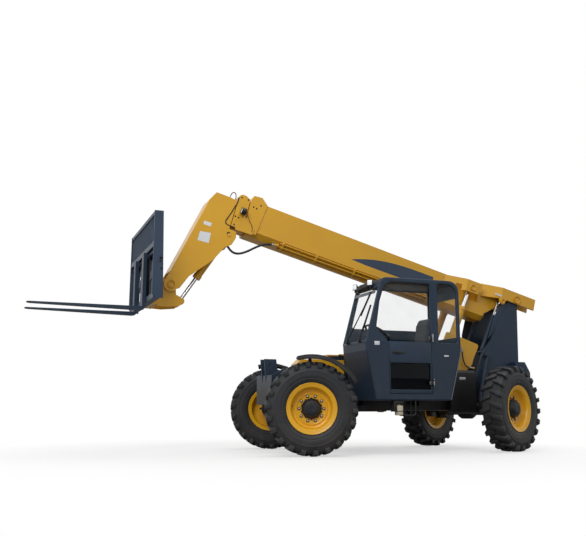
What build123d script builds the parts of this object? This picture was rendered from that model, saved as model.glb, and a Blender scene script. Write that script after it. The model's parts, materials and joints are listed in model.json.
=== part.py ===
from build123d import *
import math
import os

# Telehandler: four-wheel-steer chassis, side cab, three-section boom, fork carriage.
# Millimetres, +Z up, +X forward, +Y to the machine's left.  Shapes are built with the
# front axle at x = 0 and the ground at z = 0, then moved so that the origin lies on the
# ground in the middle of the machine's length and width.

os.makedirs("parts", exist_ok=True)

# ---------------------------------------------------------------- driving dimensions
WHEELBASE = 3160.0
TRACK = 2140.0                 # between the tyres' centre planes, wheels straight
TYRE_R = 645.0
TYRE_W = 340.0
RIM_R = 305.0                  # bead seat
BEAD_R = 323.0
FLANGE_R = 352.0
LUG_COUNT = 22                 # lugs on each side of a tyre
LUG_H = 36.0
LUG_T = 52.0
LUG_SKEW = 24.0                # sweep of a lug from the axle line
DISC_Y = 30.0                  # outer face of the rim's disc from the tyre's middle
HUB_BORE_R = 130.0
NUT_CIRCLE_R = 172.0
SPINDLE_R = 60.0
YOKE_GAP = 230.0               # between the axle's yoke ears
YOKE_T = 45.0
SADDLE_H = 150.0               # top of the axle's saddles above its centre
FENDER_GAP = 62.0
FENDER_START = 74.0            # degrees from forward, over the top
FENDER_END = 150.0
HUB_R = 138.0
NUT_COUNT = 10
KINGPIN_INSET = 220.0          # from the tyre's centre plane in to the kingpin
KINGPIN_RISE = 6.0             # kingpin's top above the yoke
STEER_FRONT = -19.0            # as parked, degrees about +Z
STEER_REAR = 24.0
RUN_FIT = 0.05                 # radial clearance of a pin in its bore
SEAT = 0.3                     # gap between curved faces on different bodies

FRAME_Y = 340.0                # outer face of the frame and mast plates
PLATE_T = 40.0
FRAME_FRONT_X = 400.0
REAR_X = -WHEELBASE            # the rear axle, from which rear places are measured
FRAME_TAIL_X = REAR_X - 790.0
FRAME_LOW_Z = 620.0
FRAME_TOP_Z = 1030.0
FRONT_TOP_Z = 1230.0
AXLE_R = 105.0

BOOM_ANGLE = 15.3              # degrees above level, as parked
PIVOT_X = REAR_X - 819.0
PIVOT_Z = 2446.0
PIVOT_R = 45.0
MAST_LOBE_R = 96.0
BOOM_Y = 200.0                 # half width of the outer section
BOOM_TOP = 55.0                # heights and stations along the boom are from its pivot
BOOM_SIDE_LOW = -410.0
BOOM_LOW = -488.0
BOOM_LOW_Y = 120.0
BOOM_WALL = 12.0
SECTION_STEP = 34.0            # each section is this much smaller all round
OUTER_REAR = 300.0
OUTER_FRONT = 4800.0
WING_IN = 360.0                # inner face of the boom's side wings
WING_OUT = 385.0
SLIDE_GAP = 1.0                # wear pads against the next section
ROD_TAIL = 20.0                # room past the closed rod, and at the closed end
BOOM_LAMP = (4935.0, -185.0)
HOSE_R = 17.0
HOSE_FITTING_L = 70.0
# hose loop, (along, left, above) in boom axes from its fitting to the head
HOSE_ROUTE = [
    (4310, 168, -485), (4440, 168, -512), (4570, 168, -606), (4700, 164, -738),
    (4830, 160, -822), (4950, 154, -808), (5030, 148, -724),
]
HEAD_HOSE_R = 7.0
HEAD_HOSE_ROUTE = [(5166, 96, 6), (5166, 96, 112), (5072, 84, 112), (5072, 84, -8)]
CABLE_R = 4.0
CABLE_ROUTE = [
    (4899, 262, -200), (4872, 262, -200), (4828, 240, -262), (4745, 232, -345),
    (4723, 231, -388), (4724, 231, -453),
]
TAB = [(4985, -330), (4905, -238), (4868, -250), (4690, -385), (4700, -474), (4975, -486)]
TUBE_U = (1450.0, 4235.0)      # hydraulic lines under the boom
TUBES = [(196, -438, 11), (168, -485, 12), (142, -488, 10), (98, -507, 12), (58, -507, 12)]  # y, v, r
TUBE_CLAMPS = (1560.0, 2240.0, 2920.0, 3600.0, 4180.0)
WING_WALL = 22.0
# wings: (u0, u1, v0, v1) at the boom's side and at the outer plate, then the room inside
# it: how far in it starts at the rear (negative is open), its lowest and highest v, then
# the slot (u0, u1, y0, y1, v0, v1) that the lowered cylinder stands in
WINGS = [
    ((-370, 620, -90, 128), (-370, 300, -60, 128), (-60, -300, 108), None),
    ((640, 1330, -220, 50), (755, 995, -150, 50), (22, -400, 100), (985, 1150, 268, 346, -240, -58)),
]

LIFT_Y = 270.0                 # middle of each lift cylinder
LIFT_FOOT_X = REAR_X + 720.0
LIFT_FOOT_Z = 1120.0
LUG_IN = 48.0
LUG_OUT = 70.0
FOOT_PIN_R = 28.0
LEVEL_Y = 250.0
LEVEL_FOOT_X = REAR_X - 152.0
LEVEL_FOOT_Z = 1560.0
LEVEL_PIN_R = 16.0
MAST_PLATE_X = REAR_X - 215.0
LIFT_HOSE_R = 11.0
LIFT_HOSE_ROUTE = [
    (REAR_X + 310, 398, 1590), (REAR_X + 310, 398, 1500), (REAR_X + 292, 400, 1390),
    (REAR_X + 240, 402, 1300), (REAR_X + 140, 400, 1292),
]
TOWER_Y = FRAME_Y + SEAT       # plate outside each lift cylinder's foot
TOWER_T = 20.0
TOWER_CORNER = 34.0
# tower outline: (from the foot pin forwards, z)
TOWER = [
    (80, 1030), (80, 1330), (-160, 1872), (-762, 1671), (-642, 1433), (-612, 1345),
    (-520, 1262), (-520, 1030),
]

MID_REAR = 450.0
MID_FRONT = 5050.0
INNER_REAR = 600.0
HEAD_REAR = 5062.0
HEAD_PLATE = 20.0
TILT_HINGE = (5656.0, -1587.0)  # carriage hinge, along and above the boom's pivot
TILT_FOOT = (5040.0, -590.0)    # tilt cylinder's foot in the head
TILT_EYE = (-157.3, -234.7)     # tilt cylinder's rod eye, from the hinge
TILT_PIN_R = 30.0
LIFT_EYE = (878.0, -70.0)       # lift cylinder's rod eye on the boom
LEVEL_EYE = (270.0, -110.0)     # levelling cylinder's rod eye on the boom

TINE_BACK = 389.7              # tines' back from the carriage hinge
TINE_L = 1520.0
TINE_W = 125.0
TINE_T = 50.0
TINE_SPREAD = 332.0            # half the distance between the tines
FORK_BAR = (354.7, 352.3)      # pin that carries the tines, from the hinge
FORK_BAR_R = 22.0
BAR_COUNT = 19
SCREEN_Y = 700.0               # outer edge of the carriage's back panels
COUPLER_Y = 172.0
COUPLER_FRONT = 214.7
CARRIAGE_Y = 945.0
CARRIAGE_FRONT = 409.7         # faces and heights of the carriage, from the hinge
CARRIAGE_BACK = 269.7
CARRIAGE_TOP = 882.3
CARRIAGE_DROP = 312.7
FORK_DROP = 412.7
SHELF_RISE = 392.3

CAB_IN = 350.0
CAB_OUT = 1150.0
CAB_LOW_Z = 760.0
BELT_Z = 1590.0
CAB_TOP_Z = 2548.0
CAB_REAR_X = REAR_X + 830.0
CAB_WALL = 40.0
GLASS_T = 8.0

POD_OUT = 1150.0               # the engine pod mirrors the cab's width
HOOD_IN = 375.0
HOOD_PIN_Y = -363.0            # axis of the hood's hinge, at the hood's top
HOOD_HINGE_XS = (REAR_X + 1110.0, -1060.0)
HOOD_PIN_R = 8.0
HOOD_FRONT_X = -810.0
HOOD_REAR_X = REAR_X + 860.0
HOOD_LOW_Z = 1050.0
HOOD_TOP_Z = 1500.0
GEARBOX_X = (-1510.0, -1045.0)
GEARBOX_Y = 285.0
GEARBOX_LOW_Z = 598.0
GEARBOX_TOP_Z = 735.0
SHAFT_R = 34.0
AXLE_NOSE = 196.0              # from an axle's centre to its drive flange
TANK_IN = 340.0 + 0.3 + 20.0 + 10.0 + 0.3   # just outside the lift towers
TANK_OUT = 460.0
TANK_X = (REAR_X + 120.0, REAR_X + 600.0)

# ---------------------------------------------------------------- worked-out values
BOOM_C = math.cos(math.radians(BOOM_ANGLE))
BOOM_S = math.sin(math.radians(BOOM_ANGLE))
BOOM_TAIL = -370.0
TAIL_X = PIVOT_X + BOOM_TAIL * BOOM_C - 128.0 * BOOM_S
BOOM = Pos(PIVOT_X, 0, PIVOT_Z) * Rot(0, -BOOM_ANGLE, 0)


def at_boom(u, v):
    """Return (x, z) of a point u along and v above the boom's pivot line."""
    return (PIVOT_X + u * BOOM_C - v * BOOM_S, PIVOT_Z + u * BOOM_S + v * BOOM_C)


HINGE_X, HINGE_Z = at_boom(*TILT_HINGE)
TINE_BACK_X = HINGE_X + TINE_BACK
TINE_TIP_X = TINE_BACK_X + TINE_T + TINE_L
MID_X = (TINE_TIP_X + TAIL_X) / 2
FORK_BAR_X, FORK_BAR_Z = HINGE_X + FORK_BAR[0], HINGE_Z + FORK_BAR[1]
COUPLER_X = HINGE_X + COUPLER_FRONT
CARRIAGE_FACE_X, CARRIAGE_BACK_X = HINGE_X + CARRIAGE_FRONT, HINGE_X + CARRIAGE_BACK
CARRIAGE_TOP_Z, CARRIAGE_LOW_Z = HINGE_Z + CARRIAGE_TOP, HINGE_Z - CARRIAGE_DROP
FORK_LOW_Z = HINGE_Z - FORK_DROP
SHELF_Z = HINGE_Z + SHELF_RISE
TILT_EYE_X, TILT_EYE_Z = HINGE_X + TILT_EYE[0], HINGE_Z + TILT_EYE[1]


# ---------------------------------------------------------------- small makers
def box(x0, x1, y0, y1, z0, z1):
    """Block between two opposite corners."""
    middle = Pos((x0 + x1) / 2, (y0 + y1) / 2, (z0 + z1) / 2)
    return middle * Box(abs(x1 - x0), abs(y1 - y0), abs(z1 - z0))


def prism_y(points, y0, y1):
    """Side-view outline (x, z) carried from y0 to y1."""
    face = make_face(Polyline([(x, y0, z) for x, z in points], close=True))
    return extrude(face, amount=y1 - y0, dir=(0, 1, 0))


def prism_x(points, x0, x1):
    """End-view outline (y, z) carried from x0 to x1."""
    face = make_face(Polyline([(x0, y, z) for y, z in points], close=True))
    return extrude(face, amount=x1 - x0, dir=(1, 0, 0))


def rod_y(x, z, r, y0, y1):
    """Round bar along Y."""
    return Pos(x, (y0 + y1) / 2, z) * Rot(90, 0, 0) * Cylinder(r, abs(y1 - y0))


def rod_x(y, z, r, x0, x1):
    """Round bar along X."""
    return Pos((x0 + x1) / 2, y, z) * Rot(0, 90, 0) * Cylinder(r, x1 - x0)


def rod_z(x, y, r, z0, z1):
    """Round bar along Z."""
    return Pos(x, y, (z0 + z1) / 2) * Cylinder(r, z1 - z0)


def rod_xz(x0, z0, x1, z1, y, r, start=0.0, end=None):
    """Round bar in a plane of constant y, from start to end along the line."""
    length = math.hypot(x1 - x0, z1 - z0)
    end = length if end is None else end
    dx, dz = (x1 - x0) / length, (z1 - z0) / length
    mid = (start + end) / 2
    tilt = math.degrees(math.atan2(dx, dz))
    return Pos(x0 + dx * mid, y, z0 + dz * mid) * Rot(0, tilt, 0) * Cylinder(r, end - start)


def both_sides(shape):
    """A piece and its mirror image across the machine's middle plane."""
    return [shape, mirror(shape, about=Plane.XZ)]


def fuse(shapes):
    """Join solids into one."""
    first, *rest = shapes
    return first.fuse(*rest) if rest else first


PARTS = {}


def keep(name, *solids):
    """Store the solids of one node, moved into the machine's own frame."""
    flat = []
    for item in solids:
        flat.extend(item.solids())
    PARTS[name] = Pos(-MID_X, 0, 0) * Compound(children=flat)


# ---------------------------------------------------------------- wheels
def ring_loft(sections, sides):
    """Closed many-sided drum about Y through (y, r) sections."""
    faces = []
    for y, r in sections:
        plane = Plane(origin=(0, y, 0), x_dir=(1, 0, 0), z_dir=(0, 1, 0))
        faces.append(plane * RegularPolygon(r, sides))
    return loft(faces, ruled=True)


def make_tyre():
    """Tyre about the Y axis, centred on its own middle plane."""
    half = TYRE_W / 2
    base_r = TYRE_R - LUG_H
    carcass = ring_loft([
        (-half + 45, BEAD_R + 2),
        (-half + 6, RIM_R + 95),
        (-half + 12, base_r - 75),
        (-half + 42, base_r),
        (half - 42, base_r),
        (half - 12, base_r - 75),
        (half - 6, RIM_R + 95),
        (half - 45, BEAD_R + 2),
    ], LUG_COUNT * 2)
    lug_half = LUG_T / 2
    root_z = base_r - 22
    top_in = math.sqrt(TYRE_R ** 2 - lug_half ** 2)
    reach = half * math.sin(math.radians(LUG_SKEW)) + lug_half
    top_out = math.sqrt(TYRE_R ** 2 - reach ** 2)
    pitch = 360.0 / LUG_COUNT
    lugs = []
    for side in (1, -1):
        outline = [
            (-6 * side, root_z),
            ((half - 4) * side, root_z - 40),
            (half * side, top_out - 34),
            ((half - 16) * side, top_out),
            (-6 * side, top_in),
        ]
        lug = Rot(0, 0, LUG_SKEW * side) * prism_x(outline, -lug_half, lug_half)
        start = 0 if side > 0 else pitch / 2
        lugs += [Rot(0, start + pitch * index, 0) * lug for index in range(LUG_COUNT)]
    tyre = carcass.fuse(*lugs)
    return tyre - rod_y(0, 0, RIM_R, -half - 10, half + 10)


def make_rim():
    """Dished steel rim with its wheel nuts about the Y axis, its outer face towards +Y."""
    wide = TYRE_W / 2 - 45
    profile = [
        (RIM_R - SEAT, -wide - SEAT),
        (BEAD_R, -wide - SEAT),
        (FLANGE_R, -wide - 17),
        (FLANGE_R, -wide - 29),
        (RIM_R - 14, -wide - 12),
        (RIM_R - 16, DISC_Y - 30),
        (RIM_R - 60, DISC_Y - 14),
        (HUB_BORE_R, DISC_Y - 14),
        (HUB_BORE_R, DISC_Y),
        (RIM_R - 70, DISC_Y),
        (RIM_R - 42, DISC_Y + 10),
        (RIM_R - 14, wide + 12),
        (FLANGE_R, wide + 29),
        (FLANGE_R, wide + 17),
        (BEAD_R, wide + SEAT),
        (RIM_R - SEAT, wide + SEAT),
    ]
    face = make_face(Polyline([(r, y, 0) for r, y in profile], close=True))
    pieces = [revolve(face, axis=Axis.Y)]
    for index in range(NUT_COUNT):
        nut = rod_y(NUT_CIRCLE_R, 0, 17, DISC_Y - 2, DISC_Y + 26)
        pieces.append(Rot(0, 360 / NUT_COUNT * index, 0) * nut)
    return fuse(pieces)


def make_hub():
    """Planetary hub about the Y axis: drum, flange and cap."""
    profile = [
        (SPINDLE_R + RUN_FIT, -105),
        (HUB_BORE_R + 10, -105),
        (HUB_BORE_R + 10, DISC_Y - 14 - SEAT),
        (HUB_BORE_R - SEAT, DISC_Y - 14 - SEAT),
        (HUB_BORE_R - SEAT, DISC_Y + 30),
        (HUB_R - 22, DISC_Y + 78),
        (55, DISC_Y + 96),
        (0, DISC_Y + 96),
        (0, -20),
        (SPINDLE_R + RUN_FIT, -20),
    ]
    face = make_face(Polyline([(r, y, 0) for r, y in profile], close=True))
    return revolve(face, axis=Axis.Y)


def make_knuckle():
    """Steering knuckle in wheel axes: kingpin, spindle and steering arm."""
    post = rod_z(0, -KINGPIN_INSET, 62, -YOKE_GAP / 2 + 2, YOKE_GAP / 2 - 2)
    pin = rod_z(0, -KINGPIN_INSET, 32, -yoke_half(), yoke_half() + KINGPIN_RISE)
    spindle = rod_y(0, 0, SPINDLE_R, -KINGPIN_INSET, -22)
    arm = box(-170, 0, -KINGPIN_INSET - 20, -KINGPIN_INSET + 20, -18, 18)
    return fuse([post, pin, spindle, arm])


def make_axle():
    """Axle housing across the machine, centred on its own middle."""
    ear_y = TRACK / 2 - KINGPIN_INSET
    beam = rod_y(0, 0, AXLE_R, -ear_y + 110, ear_y - 110)
    bowl = Sphere(185) & box(-190, 190, -190, 190, -165, 150)
    pieces = [beam, bowl, rod_x(0, 0, SHAFT_R * 1.8, -AXLE_NOSE + SEAT, AXLE_NOSE - SEAT)]
    for side in (1, -1):
        pieces.append(box(-60, 60, side * 225, side * FRAME_Y, 60, SADDLE_H))
        neck = box(-62, 62, side * (ear_y - 130), side * (ear_y - 86), -yoke_half(), yoke_half())
        pieces.append(neck)
        for z0, z1 in ((YOKE_GAP / 2, yoke_half()), (-yoke_half(), -YOKE_GAP / 2)):
            pieces.append(box(-62, 62, side * (ear_y - 90), side * ear_y, z0, z1))
            pieces.append(rod_z(0, side * ear_y, 62, z0, z1))
    axle = fuse(pieces)
    for side in (1, -1):
        axle -= rod_z(0, side * ear_y, 32 + RUN_FIT, -yoke_half() - 1, yoke_half() + 1)
    return axle


def yoke_half():
    """Half the height over an axle's yoke ears."""
    return YOKE_GAP / 2 + YOKE_T


def make_fender():
    """Mudguard over a front tyre, in wheel axes, on an arm from the kingpin's top."""
    inner = TYRE_R + FENDER_GAP
    outer = inner + 26
    turns = [math.radians(FENDER_START + (FENDER_END - FENDER_START) * i / 6) for i in range(7)]
    outline = [(outer * math.cos(a), outer * math.sin(a)) for a in turns]
    outline += [(inner * math.cos(a), inner * math.sin(a)) for a in reversed(turns)]
    blade = prism_y(outline, -TYRE_W / 2 + 10, TYRE_W / 2 + 10)
    top = yoke_half() + KINGPIN_RISE + SEAT
    post = box(-30, 30, -KINGPIN_INSET - 30, -KINGPIN_INSET + 30, top, top + 12)
    stem = box(-25, 25, -KINGPIN_INSET - 30, -KINGPIN_INSET - 18, top, inner + 12)
    reach = box(-25, 25, -KINGPIN_INSET - 30, -TYRE_W / 2 + 20, inner + 2, inner + 14)
    return fuse([blade, post, stem, reach])


TYRE = make_tyre()
AXLE_Z = -TYRE.bounding_box().min.Z
RIM = make_rim()
HUB = make_hub()
KNUCKLE = make_knuckle()
FENDER = make_fender()

# name, axle x, side, steering angle as parked, carries a mudguard
WHEELS = [
    ("front_left", 0.0, 1, STEER_FRONT, True),
    ("front_right", 0.0, -1, STEER_FRONT, True),
    ("rear_left", -WHEELBASE, 1, STEER_REAR, False),
    ("rear_right", -WHEELBASE, -1, STEER_REAR, False),
]


def wheel_place(axle_x, side, steer):
    """Location of a wheel's own axes, turned about its kingpin."""
    kingpin_y = side * (TRACK / 2 - KINGPIN_INSET)
    facing = 0 if side > 0 else 180
    return Pos(axle_x, kingpin_y, AXLE_Z) * Rot(0, 0, steer + facing) * Pos(0, KINGPIN_INSET, 0)


def build_wheels():
    """Tyre, rim, hub, knuckle and mudguard of each corner, and the two axles."""
    for name, axle_x, side, steer, guarded in WHEELS:
        place = wheel_place(axle_x, side, steer)
        keep("tyre_" + name, place * TYRE)
        keep("rim_" + name, place * RIM)
        keep("hub_" + name, place * HUB)
        keep("knuckle_" + name, place * KNUCKLE)
        if guarded:
            shape = FENDER if side > 0 else mirror(FENDER, about=Plane.YZ)
            keep("fender_" + name, place * shape)
    axle = make_axle()
    keep("axles", Pos(0, 0, AXLE_Z) * axle, Pos(-WHEELBASE, 0, AXLE_Z) * axle)


# ---------------------------------------------------------------- chassis
def build_frame():
    """Welded main frame with its mast, boom rest and tail weight."""
    arch = AXLE_Z + SADDLE_H
    side_view = [
        (FRAME_FRONT_X, 700), (FRAME_FRONT_X, 1130), (200, FRONT_TOP_Z), (-350, FRONT_TOP_Z),
        (-620, FRAME_TOP_Z), (REAR_X + 80, FRAME_TOP_Z), (REAR_X - 130, LEVEL_FOOT_Z),
        (REAR_X - 320, 1800), (PIVOT_X + 219, PIVOT_Z - 116),
        (PIVOT_X + 60, PIVOT_Z + 70), (PIVOT_X - 60, PIVOT_Z + 70), (PIVOT_X - 31, PIVOT_Z - 146),
        (PIVOT_X - 6, 1400), (FRAME_TAIL_X, 700), (REAR_X - 330, 700),
        (REAR_X - 210, arch), (REAR_X + 210, arch), (REAR_X + 330, FRAME_LOW_Z),
        (-330, FRAME_LOW_Z), (-210, arch), (210, arch), (300, 700),
    ]
    side = prism_y(side_view, FRAME_Y - PLATE_T, FRAME_Y)
    side += rod_y(PIVOT_X, PIVOT_Z, MAST_LOBE_R, FRAME_Y - PLATE_T, FRAME_Y)
    inner = FRAME_Y - PLATE_T
    pieces = both_sides(side)
    pieces += [
        box(FRAME_FRONT_X - 40, FRAME_FRONT_X, -inner, inner, 700, 1130),
        box(-330, 340, -inner, inner, 1000, 1030),
        box(-900, -860, -inner, inner, GEARBOX_TOP_Z, FRAME_TOP_Z - 80),
        box(LIFT_FOOT_X - 60, LIFT_FOOT_X + 60, -inner, inner, 900, FRAME_TOP_Z - 30),
        box(GEARBOX_X[0], -900, -inner, inner, GEARBOX_TOP_Z, GEARBOX_TOP_Z + 20),
        box(FRAME_TAIL_X, FRAME_TAIL_X + 60, -inner, inner, 720, 1900),
        box(MAST_PLATE_X - 40, MAST_PLATE_X, -inner, inner, 1000, 1595),
    ]
    tail = prism_y([
        (FRAME_TAIL_X + 150, 800), (FRAME_TAIL_X + 150, 1400), (FRAME_TAIL_X - 40, 1400),
        (FRAME_TAIL_X - 135, 1230), (FRAME_TAIL_X - 135, 860), (FRAME_TAIL_X - 90, 800),
    ], -500, 500)
    pieces.append(tail)
    for x in CAB_MOUNT_XS:
        pieces.append(box(x - 60, x + 60, inner, 540, CAB_LOW_Z - 70, CAB_LOW_Z))
    rest = []
    for y0, y1 in ((70, 95), (-95, -70)):
        ear = prism_y([(190, 1020), (400, 1020), (430, 1375), (240, 1375)], y0, y1)
        rest.append(ear - rod_y(335, 1290, 26, y0 - 1, y1 + 1))
    rest.append(box(300, 330, -70, 70, 1020, 1250))
    pieces += rest
    frame = fuse(pieces)
    frame -= rod_y(PIVOT_X, PIVOT_Z, PIVOT_R, -FRAME_Y - 1, FRAME_Y + 1)
    keep("main_frame", frame)
    pin_y = WING_OUT + 15
    keep("boom_pivot_pin", rod_y(PIVOT_X, PIVOT_Z, PIVOT_R, -pin_y, pin_y))


def build_lift_supports():
    """Lugs and pins at the feet of the lift and levelling cylinders."""
    pieces = []
    for y0, y1 in ((LIFT_Y - LUG_OUT, LIFT_Y - LUG_IN), (LIFT_Y + LUG_IN, FRAME_Y)):
        lug = box(LIFT_FOOT_X - 85, LIFT_FOOT_X + 75, y0, y1, FRAME_TOP_Z, LIFT_FOOT_Z)
        pieces.append(lug + rod_y(LIFT_FOOT_X, LIFT_FOOT_Z, 78, y0, y1))
    pieces.append(rod_y(LIFT_FOOT_X, LIFT_FOOT_Z, FOOT_PIN_R, LIFT_Y - LUG_OUT, TOWER_Y + TOWER_T))
    tower = prism_y([(LIFT_FOOT_X + dx, z) for dx, z in TOWER], TOWER_Y, TOWER_Y + TOWER_T)
    rim = [v for v in tower.edges().filter_by(Axis.Y) if v.center().Z > FRAME_TOP_Z + 60]
    pieces.append(fillet(rim, TOWER_CORNER))
    pieces.append(rod_y(LIFT_FOOT_X, LIFT_FOOT_Z, FOOT_PIN_R + 22, TOWER_Y, TOWER_Y + TOWER_T + 10))
    for at in (0, 1):
        pieces.append(hose_end(hose_path(LIFT_HOSE_ROUTE), at, TOWER_Y + TOWER_T - 2, LIFT_HOSE_R, 46))
    support = fuse(pieces)
    keep("lift_supports", *both_sides(support))
    pieces = []
    for y0, y1 in ((LEVEL_Y - 44, LEVEL_Y - 34), (LEVEL_Y + 34, LEVEL_Y + 44)):
        lug = box(MAST_PLATE_X, LEVEL_FOOT_X, y0, y1, LEVEL_FOOT_Z - 34, LEVEL_FOOT_Z + 34)
        pieces.append(lug + rod_y(LEVEL_FOOT_X, LEVEL_FOOT_Z, 34, y0, y1))
    pieces.append(rod_y(LEVEL_FOOT_X, LEVEL_FOOT_Z, LEVEL_PIN_R, LEVEL_Y - 47, LEVEL_Y + 47))
    keep("levelling_supports", *both_sides(fuse(pieces)))


def build_running_gear():
    """Engine block, its pod, the tank and the axle's locking cylinder."""
    keep("engine", box(-1850, -950, -900, -420, 800, 1380))
    y0, y1 = -POD_OUT, -FRAME_Y
    tray = prism_x([
        (y1, FRAME_LOW_Z + 60), (y1, FRAME_TOP_Z), (y1 - 25, FRAME_TOP_Z), (y1 - 25, 720),
        (y0 + 25, 740), (y0 + 25, HOOD_LOW_Z), (y0, HOOD_LOW_Z), (y0, 720), (y0 + 90, FRAME_LOW_Z + 60),
    ], HOOD_REAR_X, HOOD_FRONT_X)
    ends = []
    for x0 in (HOOD_REAR_X, HOOD_FRONT_X - 25):
        ends.append(box(x0, x0 + 25, y0 + 20, y1 - 20, 725, HOOD_LOW_Z))
    mounts = []
    for x0 in (-1800, -1150):
        mounts.append(box(x0, x0 + 100, -880, -440, 730, 800))
    bulkhead = box(HOOD_REAR_X + 26, HOOD_FRONT_X - 26, y1 - 55, y1 - 35, FRAME_TOP_Z - 40,
                   HOOD_TOP_Z - 25)
    bulkhead += box(HOOD_REAR_X + 26, HOOD_FRONT_X - 26, y1 - 55, y1, FRAME_TOP_Z - 40, FRAME_TOP_Z)
    hinges = []
    for x in HOOD_HINGE_XS:
        hinges.append(rod_x(HOOD_PIN_Y, HOOD_TOP_Z, HOOD_PIN_R, x - 52, x + 52))
        for x0 in (x - 52, x + 34):
            hinges.append(box(x0, x0 + 18, y1 - 35, y1 - 9, HOOD_TOP_Z - 60, HOOD_TOP_Z + 10))
            hinges.append(box(x0, x0 + 18, y1 - 40, y1 - 9, HOOD_TOP_Z - 60, HOOD_TOP_Z - 26))
    keep("engine_pod", fuse([tray, bulkhead] + ends + mounts + hinges))
    wall = 20
    outer = [
        (-HOOD_IN, HOOD_LOW_Z + 6), (-HOOD_IN, HOOD_TOP_Z), (y0 + 150, HOOD_TOP_Z),
        (y0 + 20, HOOD_TOP_Z - 130), (y0, HOOD_LOW_Z + 6),
    ]
    inner = [
        (0, HOOD_LOW_Z), (0, HOOD_TOP_Z - wall), (y0 + 150 + wall / 2, HOOD_TOP_Z - wall),
        (y0 + 20 + wall, HOOD_TOP_Z - 130 - wall / 2), (y0 + wall, HOOD_LOW_Z),
    ]
    hood = prism_x(outer, HOOD_REAR_X, HOOD_FRONT_X)
    hood -= prism_x(inner, HOOD_REAR_X + wall, HOOD_FRONT_X - wall)
    for index in range(5):
        z = HOOD_LOW_Z + 60 + index * 34
        hood -= box(HOOD_REAR_X + 50, HOOD_REAR_X + 650, y0 - 20, y0 + 120, z, z + 14)
    for x in HOOD_HINGE_XS:
        leaf = box(x - 30, x + 30, -HOOD_IN - 30, HOOD_PIN_Y, HOOD_TOP_Z, HOOD_TOP_Z + 6)
        hood += leaf + rod_x(HOOD_PIN_Y, HOOD_TOP_Z, HOOD_PIN_R + 7, x - 30, x + 30)
        hood -= rod_x(HOOD_PIN_Y, HOOD_TOP_Z, HOOD_PIN_R + RUN_FIT, x - 31, x + 31)
        for x0 in (x - 57, x + 31):
            hood -= box(x0, x0 + 26, -HOOD_IN - 18, -HOOD_IN + 1, HOOD_TOP_Z - wall - 1, HOOD_TOP_Z + 1)
    keep("engine_hood", hood)
    tank = prism_x([
        (TANK_IN, 560), (TANK_OUT, 590), (TANK_OUT, 1210), (TANK_OUT - 40, 1250),
        (TANK_IN, 1250),
    ], *TANK_X)
    keep("fuel_tank", tank)
    x0, x1 = GEARBOX_X
    gearbox = box(x0, x1, -GEARBOX_Y, GEARBOX_Y, GEARBOX_LOW_Z, GEARBOX_TOP_Z - SEAT)
    gearbox = fillet(gearbox.edges().filter_by(Axis.X), 24)
    shafts = []
    for start, end in ((REAR_X + AXLE_NOSE, x0), (x1, -AXLE_NOSE)):
        shafts.append(rod_x(0, AXLE_Z, SHAFT_R, start, end))
        for near, far in ((start, start + 90), (end - 90, end)):
            shafts.append(rod_x(0, AXLE_Z, SHAFT_R * 1.7, near, far))
    keep("gearbox", gearbox)
    keep("drive_shafts", fuse(shafts[:3]), fuse(shafts[3:]))
    foot = (REAR_X, AXLE_Z + AXLE_R + 42 + SEAT)
    head = (REAR_X - 175, 1500)
    y = FRAME_Y + 60
    lock = fuse([
        rod_xz(foot[0], foot[1], head[0], head[1], y, 38, 30, 500),
        rod_xz(foot[0], foot[1], head[0], head[1], y, 20, 490, None),
        rod_y(foot[0], foot[1], 42, y - 35, y + 35),
        rod_y(head[0], head[1], 36, FRAME_Y, y + 30),
    ])
    keep("axle_lock_cylinder", lock)


# ---------------------------------------------------------------- cab
CAB_SIDE = [
    (-894, CAB_LOW_Z), (-750, 1467), (-743, BELT_Z), (-1010, CAB_TOP_Z),
    (CAB_REAR_X, CAB_TOP_Z + 6), (CAB_REAR_X, 1482), (CAB_REAR_X + 201, CAB_LOW_Z),
]
UPPER_DOOR = [
    (-1110, BELT_Z), (-950, 1800), (-1010, 2180), (-1085, 2400), (-1190, 2455),
    (-1825, 2455), (-1825, BELT_Z),
]
LOWER_DOOR = [(-1110, BELT_Z), (-1110, 850), (-1825, 850), (-1825, BELT_Z)]
RIGHT_PANE = [(-1000, BELT_Z + 60), (-1120, 2400), (-2200, 2400), (-2200, BELT_Z + 60)]
LOWER_PANE = (-1795, -1135, 945, 1290)   # x and z limits of the door's lower window
SCREEN_Z = (BELT_Z + 25, 2400)
REAR_Z = (1700, 2300)
DOOR_T = 34.0
DOOR_GAP = 7.0
DOOR_RAIL = 36.0
DOOR_HINGE_X = -1838.0
DOOR_HINGE_Y = CAB_OUT + 18
DOOR_HINGE_ZS = (1010.0, 1670.0)
DOOR_PIN_R = 6.0
CAB_MOUNT_XS = (-1050.0, -2000.0)
SEAT_Y = 760.0
SEAT_Z = 1130.0
WHEEL_AT = (-1118.0, 1665.0)
WHEEL_LEAN = 32.0
STEP_X = (-1548.0, -1345.0)
STEP_YS = (965.0, 1105.0)
STEP_Z = 548.0
LAMP_YS = (400.0, 950.0)
LAMP_Z = 2485.0
QUARTER_TOP_Z = 2440.0
CAB_TUBE_R = 24.0              # rounding of the cab's outer frame
CAB_FRONT_R = 130.0            # corners of the roof, seen from the side
CAB_REAR_R = 190.0
QUARTER = [
    (-1930, 1650), (-1930, QUARTER_TOP_Z), (CAB_REAR_X + 190, QUARTER_TOP_Z),
    (CAB_REAR_X + 85, 2300), (CAB_REAR_X + 85, 1650),
]


def inset(points, gap):
    """Outline of straight sides moved inward by a gap."""
    face = make_face(Polyline([(x, z, 0) for x, z in points], close=True))
    return offset(face, amount=-gap, kind=Kind.INTERSECTION)


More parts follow.
